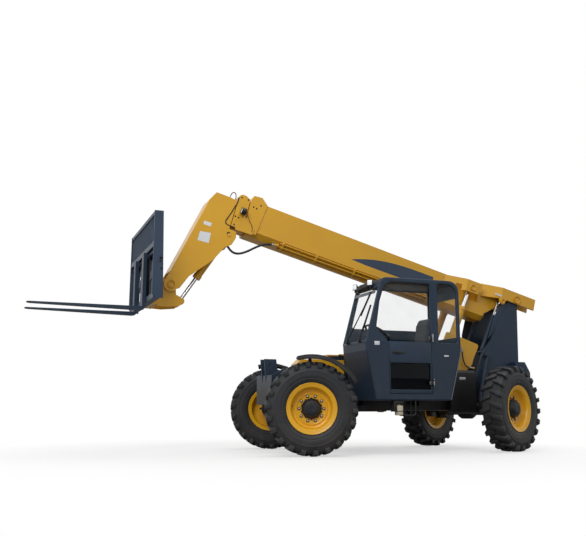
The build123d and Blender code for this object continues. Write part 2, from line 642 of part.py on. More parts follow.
def round_roof(block, inwards):
    """Round the roof's front and rear corners of the cab's outline."""
    for index, radius in ((0, CAB_FRONT_R), (1, CAB_REAR_R)):
        corners = block.edges().filter_by(Axis.Y).sort_by(Axis.Z)[-2:].sort_by(Axis.X)
        corner = corners[-1] if index == 0 else block.edges().filter_by(Axis.Y).filter_by(
            lambda e: e.center().X < CAB_REAR_X + CAB_REAR_R and e.center().Z > QUARTER_TOP_Z)[0]
        block = fillet(corner, radius - inwards)
    return block


def build_cab():
    """Hollow cab: lower shell, pillar frame and roof, glass, door and fittings."""
    outer = round_roof(prism_y(CAB_SIDE, CAB_IN, CAB_OUT), 0)
    sides = outer.faces().sort_by(Axis.Y)
    outer = fillet(sides[0].edges() + sides[-1].edges(), CAB_TUBE_R)
    face = inset(CAB_SIDE, CAB_WALL)
    wires = Plane(origin=(0, CAB_IN + CAB_WALL, 0), x_dir=(1, 0, 0), z_dir=(0, -1, 0)) * face
    room = round_roof(extrude(wires, amount=CAB_OUT - CAB_IN - 2 * CAB_WALL, dir=(0, 1, 0)), CAB_WALL)
    shell = outer - room
    door_hole = fuse([
        prism_y(UPPER_DOOR, CAB_OUT - CAB_WALL - 5, CAB_OUT + 5),
        prism_y(LOWER_DOOR, CAB_OUT - CAB_WALL - 5, CAB_OUT + 5),
    ])
    shell -= door_hole
    shell -= prism_y(QUARTER, CAB_OUT - CAB_WALL - 5, CAB_OUT + 5)
    shell -= prism_y(RIGHT_PANE, CAB_IN - 5, CAB_IN + CAB_WALL + 5)
    y0, y1 = CAB_IN + CAB_WALL + 15, CAB_OUT - CAB_WALL - 15
    shell -= box(-1100, -600, y0, y1, *SCREEN_Z)
    shell -= box(CAB_REAR_X - 10, CAB_REAR_X + CAB_WALL + 5, y0, y1, *REAR_Z)
    for z in DOOR_HINGE_ZS:
        for low in (z - 52, z + 32):
            shell += box(DOOR_HINGE_X - 22, DOOR_HINGE_X + 12, CAB_OUT - 4, DOOR_HINGE_Y + 12, low, low + 20)
        shell += rod_z(DOOR_HINGE_X, DOOR_HINGE_Y, DOOR_PIN_R, z - 52, z + 52)
    belt = box(-3000, 0, 0, 2000, BELT_Z, 4000)
    keep("cab_frame", shell & belt)
    keep("cab_panels", shell - belt)


def screen_x(z):
    """x of the sloping cab front at a height."""
    (x_low, z_low), (x_high, z_high) = CAB_SIDE[2], CAB_SIDE[3]
    return x_low + (x_high - x_low) * (z - z_low) / (z_high - z_low)


def build_glass():
    """Fixed panes, each filling its opening."""
    y0, y1 = CAB_IN + CAB_WALL + 15, CAB_OUT - CAB_WALL - 15

    z0, z1 = SCREEN_Z
    screen = prism_y([
        (screen_x(z0) - 15, z0), (screen_x(z1) - 15, z1),
        (screen_x(z1) - 15 - GLASS_T, z1), (screen_x(z0) - 15 - GLASS_T, z0),
    ], y0, y1)
    rear = box(CAB_REAR_X + 16, CAB_REAR_X + 16 + GLASS_T, y0, y1, *REAR_Z)
    right = prism_y(RIGHT_PANE, CAB_IN + 16, CAB_IN + 16 + GLASS_T)
    quarter = prism_y(QUARTER, CAB_OUT - 16 - GLASS_T, CAB_OUT - 16)
    keep("cab_glass", screen, rear, right, quarter)


def build_door():
    """Door leaf with its two panes and hinge straps."""
    lower = prism_x([(CAB_OUT - DOOR_T, 850 + DOOR_GAP), (CAB_OUT - DOOR_T, BELT_Z),
                     (CAB_OUT, BELT_Z), (CAB_OUT, 850 + DOOR_GAP)],
                    -1825 + DOOR_GAP, -1110 - DOOR_GAP)
    upper_face = inset(UPPER_DOOR, DOOR_GAP)
    leaf_plane = Plane(origin=(0, CAB_OUT - DOOR_T, 0), x_dir=(1, 0, 0), z_dir=(0, -1, 0))
    upper = extrude(leaf_plane * upper_face, amount=DOOR_T, dir=(0, 1, 0))
    leaf = lower + upper + box(-1825 + DOOR_GAP, -1110 - DOOR_GAP, CAB_OUT - DOOR_T, CAB_OUT,
                               BELT_Z - 20, BELT_Z + 40)
    window = leaf_plane * inset(UPPER_DOOR, DOOR_GAP + DOOR_RAIL)
    pane_plane = Plane(origin=(0, CAB_OUT - 22, 0), x_dir=(1, 0, 0), z_dir=(0, -1, 0))
    leaf -= extrude(window, amount=DOOR_T + 10, dir=(0, 1, 0))
    leaf -= box(*LOWER_PANE[:2], CAB_OUT - DOOR_T - 5, CAB_OUT + 5, *LOWER_PANE[2:])
    straps = []
    for z in DOOR_HINGE_ZS:
        straps.append(box(DOOR_HINGE_X, -1758, CAB_OUT + 5, CAB_OUT + 13, z - 22, z + 22))
        straps.append(box(-1806, -1758, CAB_OUT, CAB_OUT + 6, z - 22, z + 22))
        straps.append(rod_z(DOOR_HINGE_X, DOOR_HINGE_Y, 12, z - 30, z + 30))
    leaf = fuse([leaf] + straps)
    for z in DOOR_HINGE_ZS:
        leaf -= rod_z(DOOR_HINGE_X, DOOR_HINGE_Y, DOOR_PIN_R + RUN_FIT, z - 31, z + 31)
    keep("cab_door", leaf)
    pane = inset(UPPER_DOOR, DOOR_GAP + DOOR_RAIL)
    upper_pane = extrude(pane_plane * pane, amount=GLASS_T, dir=(0, 1, 0))
    lower_pane = box(*LOWER_PANE[:2], CAB_OUT - 30, CAB_OUT - 30 + GLASS_T, *LOWER_PANE[2:])
    keep("door_glass", upper_pane, lower_pane)


def build_cab_fittings():
    """Seat, console, steering wheel, lamps and step."""
    floor = CAB_LOW_Z + CAB_WALL
    hub_x, hub_z = WHEEL_AT
    lean_x, lean_z = math.sin(math.radians(WHEEL_LEAN)), math.cos(math.radians(WHEEL_LEAN))
    hub_half = 13
    column_top = hub_half + SEAT

    def behind(z):
        """x of the seat shell's front face at a height."""
        return -1985 - 0.08 * (z - SEAT_Z)

    base = [
        box(behind(SEAT_Z) - 22, -1560, 570, 950, floor, SEAT_Z),
        prism_y([(behind(SEAT_Z - 10), SEAT_Z - 10), (behind(1960), 1960), (behind(1960) - 22, 1960),
                 (behind(SEAT_Z - 10) - 22, SEAT_Z - 10)], 600, 920),
    ]
    dash = fuse([
        prism_y([(-960, floor), (-860, 1440), (-860, 1560), (-1010, 1580), (-1080, 1500),
                 (-1060, floor)], 470, 1050),
        rod_xz(hub_x + lean_x * 190, hub_z - lean_z * 190, hub_x + lean_x * column_top,
               hub_z - lean_z * column_top, SEAT_Y, 34),
    ])
    keep("cab_console", fuse(base), dash, box(-1900, -1100, 400, 520, floor, 1330))
    seat = prism_y([(behind(SEAT_Z) + SEAT, SEAT_Z + SEAT), (-1430, SEAT_Z + SEAT), (-1420, 1240),
                    (-1960, 1260)], 530, 990)
    back = prism_y([(behind(1275) + SEAT, 1275), (-1835, 1275), (-1905, 1800),
                    (behind(1800) + SEAT, 1800)], 540, 980)
    rest = prism_y([(behind(1822) + SEAT, 1822), (-1930, 1822), (-1950, 1955),
                    (behind(1955) + SEAT, 1955)], 640, 880)
    keep("seat_cushions", seat, back, rest)
    wheel = Pos(hub_x, SEAT_Y, hub_z) * Rot(0, -WHEEL_LEAN, 0)
    ring = wheel * Torus(180, 15)
    spokes = [wheel * Rot(0, 0, a) * Pos(90, 0, 0) * Box(180, 22, 12) for a in (0, 120, 240)]
    keep("steering_wheel", fuse([ring] + spokes + [wheel * Cylinder(38, 2 * hub_half)]))
    lamps = []
    for y in LAMP_YS:
        lamps.append(box(-975, -890, y - 48, y + 48, LAMP_Z - 48, LAMP_Z + 48))
        low, high = (screen_x(2405) + SEAT, 2405), (screen_x(2432) + SEAT, 2432)
        lamps.append(prism_y([low, high, (-900, 2440), (-900, 2425)], y - 14, y + 14))
    keep("work_lamps", *[lamps[i] + lamps[i + 1] for i in (0, 2)])
    hang = CAB_LOW_Z - SEAT
    loops = []
    for y in STEP_YS:
        path = FilletPolyline((STEP_X[0], y, hang), (STEP_X[0], y, STEP_Z), (STEP_X[1], y, STEP_Z),
                              (STEP_X[1], y, hang), radius=40)
        loops.append(sweep(Plane(origin=path @ 0, z_dir=path % 0) * Circle(12), path=path))
    tread = box(STEP_X[0] + 45, STEP_X[1] - 45, STEP_YS[0] - 5, STEP_YS[1] + 5, STEP_Z - 5, STEP_Z + 5)
    keep("cab_step", fuse(loops + [tread]))
    bottle = box(-1315, -1195, 985, 1125, 545, 700) + box(-1325, -1190, 975, 1130, 700, hang)
    keep("washer_bottle", bottle)
    cover = prism_y([(-150, FRAME_TOP_Z + SEAT), (-150, 1320), (-230, 1395), (-960, 1395),
                     (-960, FRAME_TOP_Z + SEAT)], -290, -70)
    keep("valve_cover", cover)


def hose_path(route):
    """Line of a hose or cable: straight runs joined by tangent arcs."""
    points = [Vector(*p) for p in route]
    radii = []
    for before, here, after in zip(points, points[1:], points[2:]):
        turn = math.radians((here - before).get_angle(after - here))
        run = min((here - before).length, (after - here).length)
        radii.append(0.45 * run / math.tan(turn / 2))
    print("bend radii", [round(r) for r in radii])
    return FilletPolyline(*points, radius=radii)


def hose_end(path, at, side, bore_r=HOSE_R, length=HOSE_FITTING_L):
    """Hose fitting beyond one end of the path, with its bracket out to y = side."""
    away = -1 if at == 0 else 1
    plane = Plane(origin=path @ at, z_dir=path % at)
    body = plane * Pos(0, 0, away * length / 2) * Cylinder(bore_r * 1.4, length)
    middle = body.center()
    half = bore_r
    return body + box(middle.X - half, middle.X + half, middle.Y, side, middle.Z - half, middle.Z + half)


def make_hose(route, radius, name):
    """Whole hose along a route."""
    path = hose_path(route)
    start = Plane(origin=path @ 0, z_dir=path % 0)
    hose = sweep(start * Circle(radius), path=path)
    print(name, "length", round(path.length), "volume ratio",
          round(hose.volume / (math.pi * radius ** 2 * path.length), 4))
    return hose


def build_boom_fittings():
    """Work lamp on the middle section and the hose loop under the boom's front."""
    u, v = BOOM_LAMP
    lamp = Pos(u, BOOM_Y + 62, v) * Rot(0, 90, 0) * Cylinder(44, 70)
    arm = box(u - 14, u + 14, BOOM_Y, BOOM_Y + 40, v - 14, v + 14)
    keep("boom_lamp", BOOM * (lamp + arm))
    keep("tilt_hose", BOOM * make_hose(HOSE_ROUTE, HOSE_R, "tilt hose"))
    keep("head_hose", BOOM * make_hose(HEAD_HOSE_ROUTE, HEAD_HOSE_R, "head hose"))
    keep("lamp_cable", BOOM * make_hose(CABLE_ROUTE, CABLE_R, "lamp cable"))
    keep("lift_hose", make_hose(LIFT_HOSE_ROUTE, LIFT_HOSE_R, "lift hose"))
    tubes = [rod_x(y, v, r, *TUBE_U) for y, v, r in TUBES]
    for u in TUBE_CLAMPS:
        tubes.append(prism_x([
            (BOOM_Y + 0.5, BOOM_SIDE_LOW - 1), (BOOM_Y + 14, BOOM_SIDE_LOW - 22), (182, BOOM_LOW - 14),
            (148, BOOM_LOW - 24), (40, BOOM_LOW - 36), (40, BOOM_LOW - SEAT), (BOOM_LOW_Y, BOOM_LOW - SEAT),
        ], u - 14, u + 14))
    keep("boom_tubes", BOOM * fuse(tubes))


# ---------------------------------------------------------------- boom
def section(shrink, u0, u1):
    """Boom cross-section, smaller all round by shrink, between two stations."""
    y = BOOM_Y - shrink
    low_y = BOOM_LOW_Y - shrink * 0.6
    top, low, side = BOOM_TOP - shrink, BOOM_LOW + shrink, BOOM_SIDE_LOW + shrink * 0.9
    return prism_x([(-y, top), (-y, side), (-low_y, low), (low_y, low), (y, side), (y, top)], u0, u1)


def slope_block(near, far, near_y, far_y):
    """Solid between a rectangle at one y and a smaller one at another."""
    faces = []
    for (u0, u1, v0, v1), y in ((near, near_y), (far, far_y)):
        corners = [(u0, y, v0), (u1, y, v0), (u1, y, v1), (u0, y, v1)]
        faces.append(make_face(Polyline(corners, close=True)))
    return loft(faces, ruled=True)


def build_wing(near, far, hollow, notch):
    """Hollow bracket on the boom's side, open below for a cylinder or the mast."""
    u_back, low, high = hollow
    block = slope_block(near, far, BOOM_Y - BOOM_WALL / 2, WING_OUT)
    near_room = (near[0] + u_back, near[1] - WING_WALL, low, high)
    far_room = (far[0] + u_back, far[1] - WING_WALL, low, high)
    block -= slope_block(near_room, far_room, BOOM_Y, WING_IN)
    return block - box(*notch) if notch else block


def build_boom():
    """Outer, middle and inner sections with the head, in boom axes."""
    pad = SECTION_STEP - SLIDE_GAP
    outer = section(0, OUTER_REAR, OUTER_FRONT) - section(BOOM_WALL, OUTER_REAR - 1, OUTER_FRONT - 150)
    outer -= section(pad, OUTER_REAR, OUTER_FRONT + 1)
    outer -= prism_y([(OUTER_REAR - 2, -100), (OUTER_REAR - 2, BOOM_LOW - 5),
                      (520, BOOM_LOW - 5), (490, BOOM_SIDE_LOW)], -BOOM_Y - 1, BOOM_Y + 1)
    collar = prism_y([
        (OUTER_FRONT - 214, BOOM_TOP), (OUTER_FRONT - 100, 147), (OUTER_FRONT + 30, 134),
        (OUTER_FRONT + 56, BOOM_TOP), (OUTER_FRONT + 56, -300), (OUTER_FRONT - 20, -452),
        (OUTER_FRONT - 150, -452),
    ], -BOOM_Y - 14, BOOM_Y + 14)
    collar -= section(pad, OUTER_FRONT - 300, OUTER_FRONT + 100)
    cheeks = []
    for y0, y1 in ((BOOM_Y - 20, BOOM_Y), (-BOOM_Y, -BOOM_Y + 20)):
        cheeks.append(prism_y([
            (BOOM_TAIL + 240, -60), (BOOM_TAIL + 240, 40), (120, BOOM_TOP),
            (MID_REAR - 15, BOOM_TOP), (MID_REAR - 15, -340), (220, -150), (60, -90),
        ], y0, y1))
    wings = []
    for row in WINGS:
        wings += both_sides(build_wing(*row))
    barrel = rod_y(0, 0, 80, -BOOM_Y - 90, BOOM_Y + 90)
    rear_top = box(BOOM_TAIL + 240, OUTER_REAR + 20, -BOOM_Y, BOOM_Y, 25, 40)
    boss = []
    for u, v in ((0, 0), LEVEL_EYE, LIFT_EYE):
        boss += both_sides(rod_y(u, v, 48, WING_OUT - 2, WING_OUT + 12))
    eye_u, eye_v = LEVEL_EYE
    lug = prism_y([(eye_u - 80, -50), (eye_u - 44, eye_v - 20), (eye_u + 44, eye_v - 20),
                   (eye_u + 80, -50)], WING_IN, WING_OUT)
    outer = fuse([outer, collar] + cheeks + wings + [barrel, rear_top] + boss + both_sides(lug))
    outer += hose_end(hose_path(HOSE_ROUTE), 0, HOSE_ROUTE[0][1] - 40)
    outer -= rod_y(0, 0, PIVOT_R + RUN_FIT, -WING_OUT - 20, WING_OUT + 20)
    keep("boom_outer", BOOM * outer)

    mid = section(SECTION_STEP, MID_REAR, MID_FRONT)
    mid += section(BOOM_WALL + SLIDE_GAP, MID_REAR, MID_REAR + 120)
    front = prism_y([
        (OUTER_FRONT + 70, BOOM_TOP), (OUTER_FRONT + 150, 91), (MID_FRONT - 40, 91),
        (MID_FRONT, BOOM_TOP), (MID_FRONT, -440), (OUTER_FRONT + 70, -440),
    ], -BOOM_Y, BOOM_Y)
    tab = prism_y(TAB, BOOM_Y + 20, BOOM_Y + 26)
    spacer = box(OUTER_FRONT + 82, OUTER_FRONT + 180, BOOM_Y - 1, BOOM_Y + 21, -470, -345)
    clip = box(4712, 4736, BOOM_Y + 25, BOOM_Y + 37, -478, -454)
    mid = fuse([mid, front, tab, spacer, clip])
    mid -= section(SECTION_STEP + BOOM_WALL, MID_REAR - 1, MID_FRONT - 150)
    mid -= section(2 * SECTION_STEP - SLIDE_GAP, MID_REAR - 1, MID_FRONT + 1)
    keep("boom_mid", BOOM * mid)

    inner = section(2 * SECTION_STEP, INNER_REAR, HEAD_REAR + 180)
    inner += section(SECTION_STEP + BOOM_WALL + SLIDE_GAP, INNER_REAR, INNER_REAR + 120)
    inner -= section(2 * SECTION_STEP + BOOM_WALL, INNER_REAR - 1, HEAD_REAR + 181)
    ends = [hose_end(hose_path(HOSE_ROUTE), 1, BOOM_Y - 10)]
    arc = hose_path(HEAD_HOSE_ROUTE)
    for at in (0, 1):
        plane = Plane(origin=arc @ at, z_dir=arc % at)
        away = -1 if at == 0 else 1
        ends.append(plane * Pos(0, 0, away * 14) * Cylinder(HEAD_HOSE_R * 1.5, 28))
    keep("boom_inner", BOOM * fuse([inner] + head_pieces() + ends))


def head_pieces():
    """Plates of the boom's head, in boom axes."""
    t = HEAD_PLATE
    outline = [
        (HEAD_REAR, -34), (5190, -22), (5404, -22), (5474, -166), (5608, -833), (5742, -1500),
        (5742, -1620), (5610, -1660), (5520, -1600), (5440, -1390), (5167, -1042), (5048, -792),
        (4960, -720), (4925, -600), (4945, -505), (HEAD_REAR, -500),
    ]
    plates = [prism_y(outline, BOOM_Y - t, BOOM_Y), prism_y(outline, -BOOM_Y, -BOOM_Y + t)]
    front = prism_y([
        (5404, -22), (5474, -166), (5608, -833), (5720, -1400), (5700, -1404), (5588, -836),
        (5455, -172), (5390, -42), (5190, -42), (5190, -22),
    ], -BOOM_Y, BOOM_Y)
    back = box(HEAD_REAR, HEAD_REAR + 18, -BOOM_Y + 2, BOOM_Y - 2, -500, -36)
    web = prism_y([(5440, -1100), (5625, -1000), (5621, -980), (5430, -1085)], -BOOM_Y + 2, BOOM_Y - 2)
    back -= section(2 * SECTION_STEP + 6, HEAD_REAR - 1, HEAD_REAR + 19)
    hinge_u, hinge_v = TILT_HINGE
    foot_u, foot_v = TILT_FOOT
    ears = both_sides(rod_y(hinge_u, hinge_v, 105, BOOM_Y - t - 6, BOOM_Y + 8))
    pins = [
        rod_y(hinge_u, hinge_v, TILT_PIN_R, -BOOM_Y - 16, BOOM_Y + 16),
        rod_y(foot_u, foot_v, TILT_PIN_R - 4, -BOOM_Y - 10, BOOM_Y + 10),
    ]
    return plates + [front, back, web] + ears + pins


def cylinder_pair(foot, eye, y, bore_r, rod_r, gland, closing, pin_r, eye_r, eye_half):
    """Barrel and rod of a hydraulic cylinder; closing is its travel left from this pose."""
    (x0, z0), (x1, z1) = foot, eye
    span = math.hypot(x1 - x0, z1 - z0)
    neck = eye_r * 1.35
    barrel = rod_xz(x0, z0, x1, z1, y, bore_r, neck, gland)
    barrel += rod_xz(x0, z0, x1, z1, y, min(bore_r, eye_half - 2), 0, neck)
    barrel += rod_xz(x0, z0, x1, z1, y, bore_r + 8, gland - 60, gland)
    barrel -= rod_xz(x0, z0, x1, z1, y, rod_r + 0.4, neck + ROD_TAIL, gland + 1)
    barrel += rod_y(x0, z0, eye_r, y - eye_half, y + eye_half)
    barrel -= rod_y(x0, z0, pin_r + RUN_FIT, y - eye_half - 1, y + eye_half + 1)
    rod = rod_xz(x0, z0, x1, z1, y, rod_r, neck + ROD_TAIL + closing + 12, span)
    rod += rod_y(x1, z1, eye_r * 0.85, y - eye_half, y + eye_half)
    return barrel, rod


def build_cylinders():
    """Lift, levelling and tilt cylinders."""
    rows = [
        # node, foot, rod eye, y, barrel r, rod r, gland, travel left, pin r, eye r, half eye
        ("lift", (LIFT_FOOT_X, LIFT_FOOT_Z), at_boom(*LIFT_EYE), LIFT_Y, 60, 38, 1290, 262,
         FOOT_PIN_R, 74, 44),
        ("levelling", (LEVEL_FOOT_X, LEVEL_FOOT_Z), at_boom(*LEVEL_EYE), LEVEL_Y, 31, 16, 690, 86,
         LEVEL_PIN_R, 34, 28),
    ]
    for name, foot, eye, y, *sizes in rows:
        barrel, rod = cylinder_pair(foot, eye, y, *sizes)
        keep(name + "_barrels", *both_sides(barrel))
        keep(name + "_rods", *both_sides(rod))
    barrel, rod = cylinder_pair(at_boom(*TILT_FOOT), (TILT_EYE_X, TILT_EYE_Z), 0, 55, 28, 790,
                                323, TILT_PIN_R - 4, 60, 50)
    keep("tilt_barrel", barrel)
    keep("tilt_rod", rod)


def build_carriage():
    """Coupler, fork carriage with its backrest, and the two tines."""
    hinge_x, hinge_z = HINGE_X, HINGE_Z
    eye_x, eye_z = TILT_EYE_X, TILT_EYE_Z
    low, high = CARRIAGE_LOW_Z, HINGE_Z + 122
    plate = prism_y([
        (hinge_x - 62, hinge_z - 30), (hinge_x - 40, hinge_z + 60), (hinge_x + 60, hinge_z + 60),
        (COUPLER_X, high), (COUPLER_X, low - 5), (hinge_x + 65, low - 15), (eye_x + 22, eye_z - 73),
        (eye_x - 38, eye_z - 23), (eye_x - 26, eye_z + 42), (hinge_x - 85, eye_z + 92),
        (hinge_x - 80, hinge_z - 78),
    ], COUPLER_Y - 24, COUPLER_Y)
    plate += rod_y(hinge_x, hinge_z, 78, COUPLER_Y - 24, COUPLER_Y)
    plate += rod_y(TILT_EYE_X, TILT_EYE_Z, 52, COUPLER_Y - 24, COUPLER_Y)
    plate -= rod_y(hinge_x, hinge_z, TILT_PIN_R + RUN_FIT, 0, BOOM_Y)
    coupler = fuse(both_sides(plate) + [
        box(COUPLER_X - 20, COUPLER_X, -COUPLER_Y - 100, COUPLER_Y + 100, low, high + 10),
        box(COUPLER_X - 1, CARRIAGE_BACK_X + 20, -COUPLER_Y - 100, COUPLER_Y + 100, high - 60, high + 10),
        box(COUPLER_X - 1, CARRIAGE_BACK_X + 20, -COUPLER_Y - 100, COUPLER_Y + 100, low + 5, low + 65),
    ])
    keep("coupler", coupler)

    front = TINE_BACK_X - SEAT
    pieces = []
    for side in (1, -1):
        y0, y1 = side * (CARRIAGE_Y - 22), side * CARRIAGE_Y
        pieces.append(prism_y([
            (CARRIAGE_BACK_X - 10, CARRIAGE_LOW_Z), (CARRIAGE_BACK_X + 15, CARRIAGE_TOP_Z),
            (CARRIAGE_FACE_X - 5, CARRIAGE_TOP_Z), (CARRIAGE_FACE_X, CARRIAGE_LOW_Z + 60),
            (CARRIAGE_FACE_X - 40, CARRIAGE_LOW_Z),
        ], min(y0, y1), max(y0, y1)))
    inner = CARRIAGE_Y - 20
    pieces += [
        box(CARRIAGE_BACK_X + 20, front, -inner, inner, CARRIAGE_LOW_Z + 5, CARRIAGE_LOW_Z + 75),
        box(CARRIAGE_BACK_X + 20, CARRIAGE_BACK_X + 45, -inner, inner, high - 90, high + 30),
        box(CARRIAGE_BACK_X + 60, CARRIAGE_FACE_X - 10, -inner, inner, SHELF_Z, SHELF_Z + 70),
        box(CARRIAGE_BACK_X + 50, CARRIAGE_FACE_X - 10, -inner, inner, CARRIAGE_TOP_Z - 50,
            CARRIAGE_TOP_Z),
        rod_y(FORK_BAR_X, FORK_BAR_Z, FORK_BAR_R, -inner, inner),
    ]
    spacing = 2 * inner / (BAR_COUNT + 1)
    for index in range(BAR_COUNT):
        y = -inner + spacing * (index + 1)
        pieces.append(box(CARRIAGE_FACE_X - 50, CARRIAGE_FACE_X - 20, y - 8, y + 8, SHELF_Z + 60,
                          CARRIAGE_TOP_Z - 45))
    back = CARRIAGE_BACK_X + 22
    for side in (1, -1):
        y = side * (COUPLER_Y + 60)
        pieces.append(box(back, back + 22, y - 30, y + 30, low + 60, SHELF_Z + 50))
        panel = box(back + 6, back + 14, side * (COUPLER_Y + 80), side * SCREEN_Y, low + 60, SHELF_Z + 50)
        for z in (low + 130, low + 380):
            panel -= box(back, back + 20, side * (SCREEN_Y - 130), side * (SCREEN_Y - 40), z, z + 150)
        pieces.append(panel)
        pieces.append(box(back, back + 38, side * (SCREEN_Y - 12), side * SCREEN_Y, low + 60, SHELF_Z + 50))
        pieces.append(box(CARRIAGE_BACK_X + 40, CARRIAGE_FACE_X - 12, side * (SCREEN_Y - 12),
                          side * SCREEN_Y, SHELF_Z, SHELF_Z + 60))
    keep("carriage", fuse(pieces))

    back = TINE_BACK_X
    tine = prism_y([
        (back, FORK_BAR_Z - 30), (back, FORK_LOW_Z + 60), (back + 22, FORK_LOW_Z + 8),
        (back + 60, FORK_LOW_Z), (TINE_TIP_X - 40, FORK_LOW_Z + TINE_T - 16),
        (TINE_TIP_X, FORK_LOW_Z + TINE_T - 8), (TINE_TIP_X - 20, FORK_LOW_Z + TINE_T),
        (back + TINE_T, FORK_LOW_Z + TINE_T), (back + TINE_T, FORK_BAR_Z + 20),
    ], -TINE_W / 2, TINE_W / 2)
    tine += rod_y(FORK_BAR_X, FORK_BAR_Z, FORK_BAR_R + 18, -TINE_W / 2, TINE_W / 2)
    tine += box(FORK_BAR_X, back + TINE_T, -TINE_W / 2, TINE_W / 2, FORK_BAR_Z - 30, FORK_BAR_Z + 40)
    tine -= rod_y(FORK_BAR_X, FORK_BAR_Z, FORK_BAR_R + SEAT, -TINE_W, TINE_W)
    keep("fork_tines", Pos(0, TINE_SPREAD, 0) * tine, Pos(0, -TINE_SPREAD, 0) * tine)


build_wheels()
build_frame()
build_lift_supports()
build_running_gear()
build_cab()
build_glass()
build_door()
build_cab_fittings()
build_boom_fittings()
build_boom()
build_cylinders()
build_carriage()

for node, solid in PARTS.items():
    export_step(solid, "parts/" + node + ".step")
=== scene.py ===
"""Looks of a rough-terrain telehandler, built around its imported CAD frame.

Metres, +Z up, +X towards the forks, +Y to the machine's left, as in the CAD frame.
"""
from __future__ import annotations

import json
import logging
import math
from dataclasses import dataclass, field
from enum import Enum
from typing import Any, Iterable, Sequence

import bmesh
import bpy
from mathutils import Matrix, Vector

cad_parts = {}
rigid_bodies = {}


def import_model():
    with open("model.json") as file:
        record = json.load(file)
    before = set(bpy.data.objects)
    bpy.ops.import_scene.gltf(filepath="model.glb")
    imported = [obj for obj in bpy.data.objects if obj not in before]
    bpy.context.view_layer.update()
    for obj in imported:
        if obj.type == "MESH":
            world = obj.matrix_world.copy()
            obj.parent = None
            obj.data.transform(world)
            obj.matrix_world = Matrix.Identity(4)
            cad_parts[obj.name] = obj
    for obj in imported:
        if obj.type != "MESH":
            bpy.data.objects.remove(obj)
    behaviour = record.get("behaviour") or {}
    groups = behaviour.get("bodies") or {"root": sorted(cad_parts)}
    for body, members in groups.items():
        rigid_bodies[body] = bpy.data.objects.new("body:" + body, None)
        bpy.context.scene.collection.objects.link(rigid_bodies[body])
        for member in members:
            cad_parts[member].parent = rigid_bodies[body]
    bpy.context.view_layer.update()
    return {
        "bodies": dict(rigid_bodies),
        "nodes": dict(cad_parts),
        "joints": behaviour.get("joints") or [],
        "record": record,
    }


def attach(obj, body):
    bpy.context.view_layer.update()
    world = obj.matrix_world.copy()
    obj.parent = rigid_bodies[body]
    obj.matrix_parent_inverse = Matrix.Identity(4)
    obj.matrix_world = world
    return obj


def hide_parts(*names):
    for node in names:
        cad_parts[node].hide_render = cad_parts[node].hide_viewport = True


log = logging.getLogger("telehandler")

Point = tuple[float, float, float]
Colour = tuple[float, float, float, float]
MM = 0.001
FULL_TURN = 2 * math.pi
SMOOTH_UNDER = 32.0     # degrees: edges that bend more stay sharp
LEFTWARDS = Matrix(((1, 0, 0), (0, 0, 1), (0, 1, 0))).to_4x4()      # a flat outline's x, y become x, z


class Sheen(Enum):
    """How a painted surface shines."""

    GLOSS = "gloss"
    SATIN = "satin"


def tint(red: int, green: int, blue: int) -> Colour:
    """Turn a display colour into the linear one that shaders use.

    Args:
        red: Display red, 0 to 255.
        green: Display green, 0 to 255.
        blue: Display blue, 0 to 255.

    Returns:
        Linear red, green and blue with full alpha.
    """
    linear = [((c / 255 + 0.055) / 1.055) ** 2.4 if c > 10 else c / 255 / 12.92 for c in (red, green, blue)]
    return (linear[0], linear[1], linear[2], 1.0)


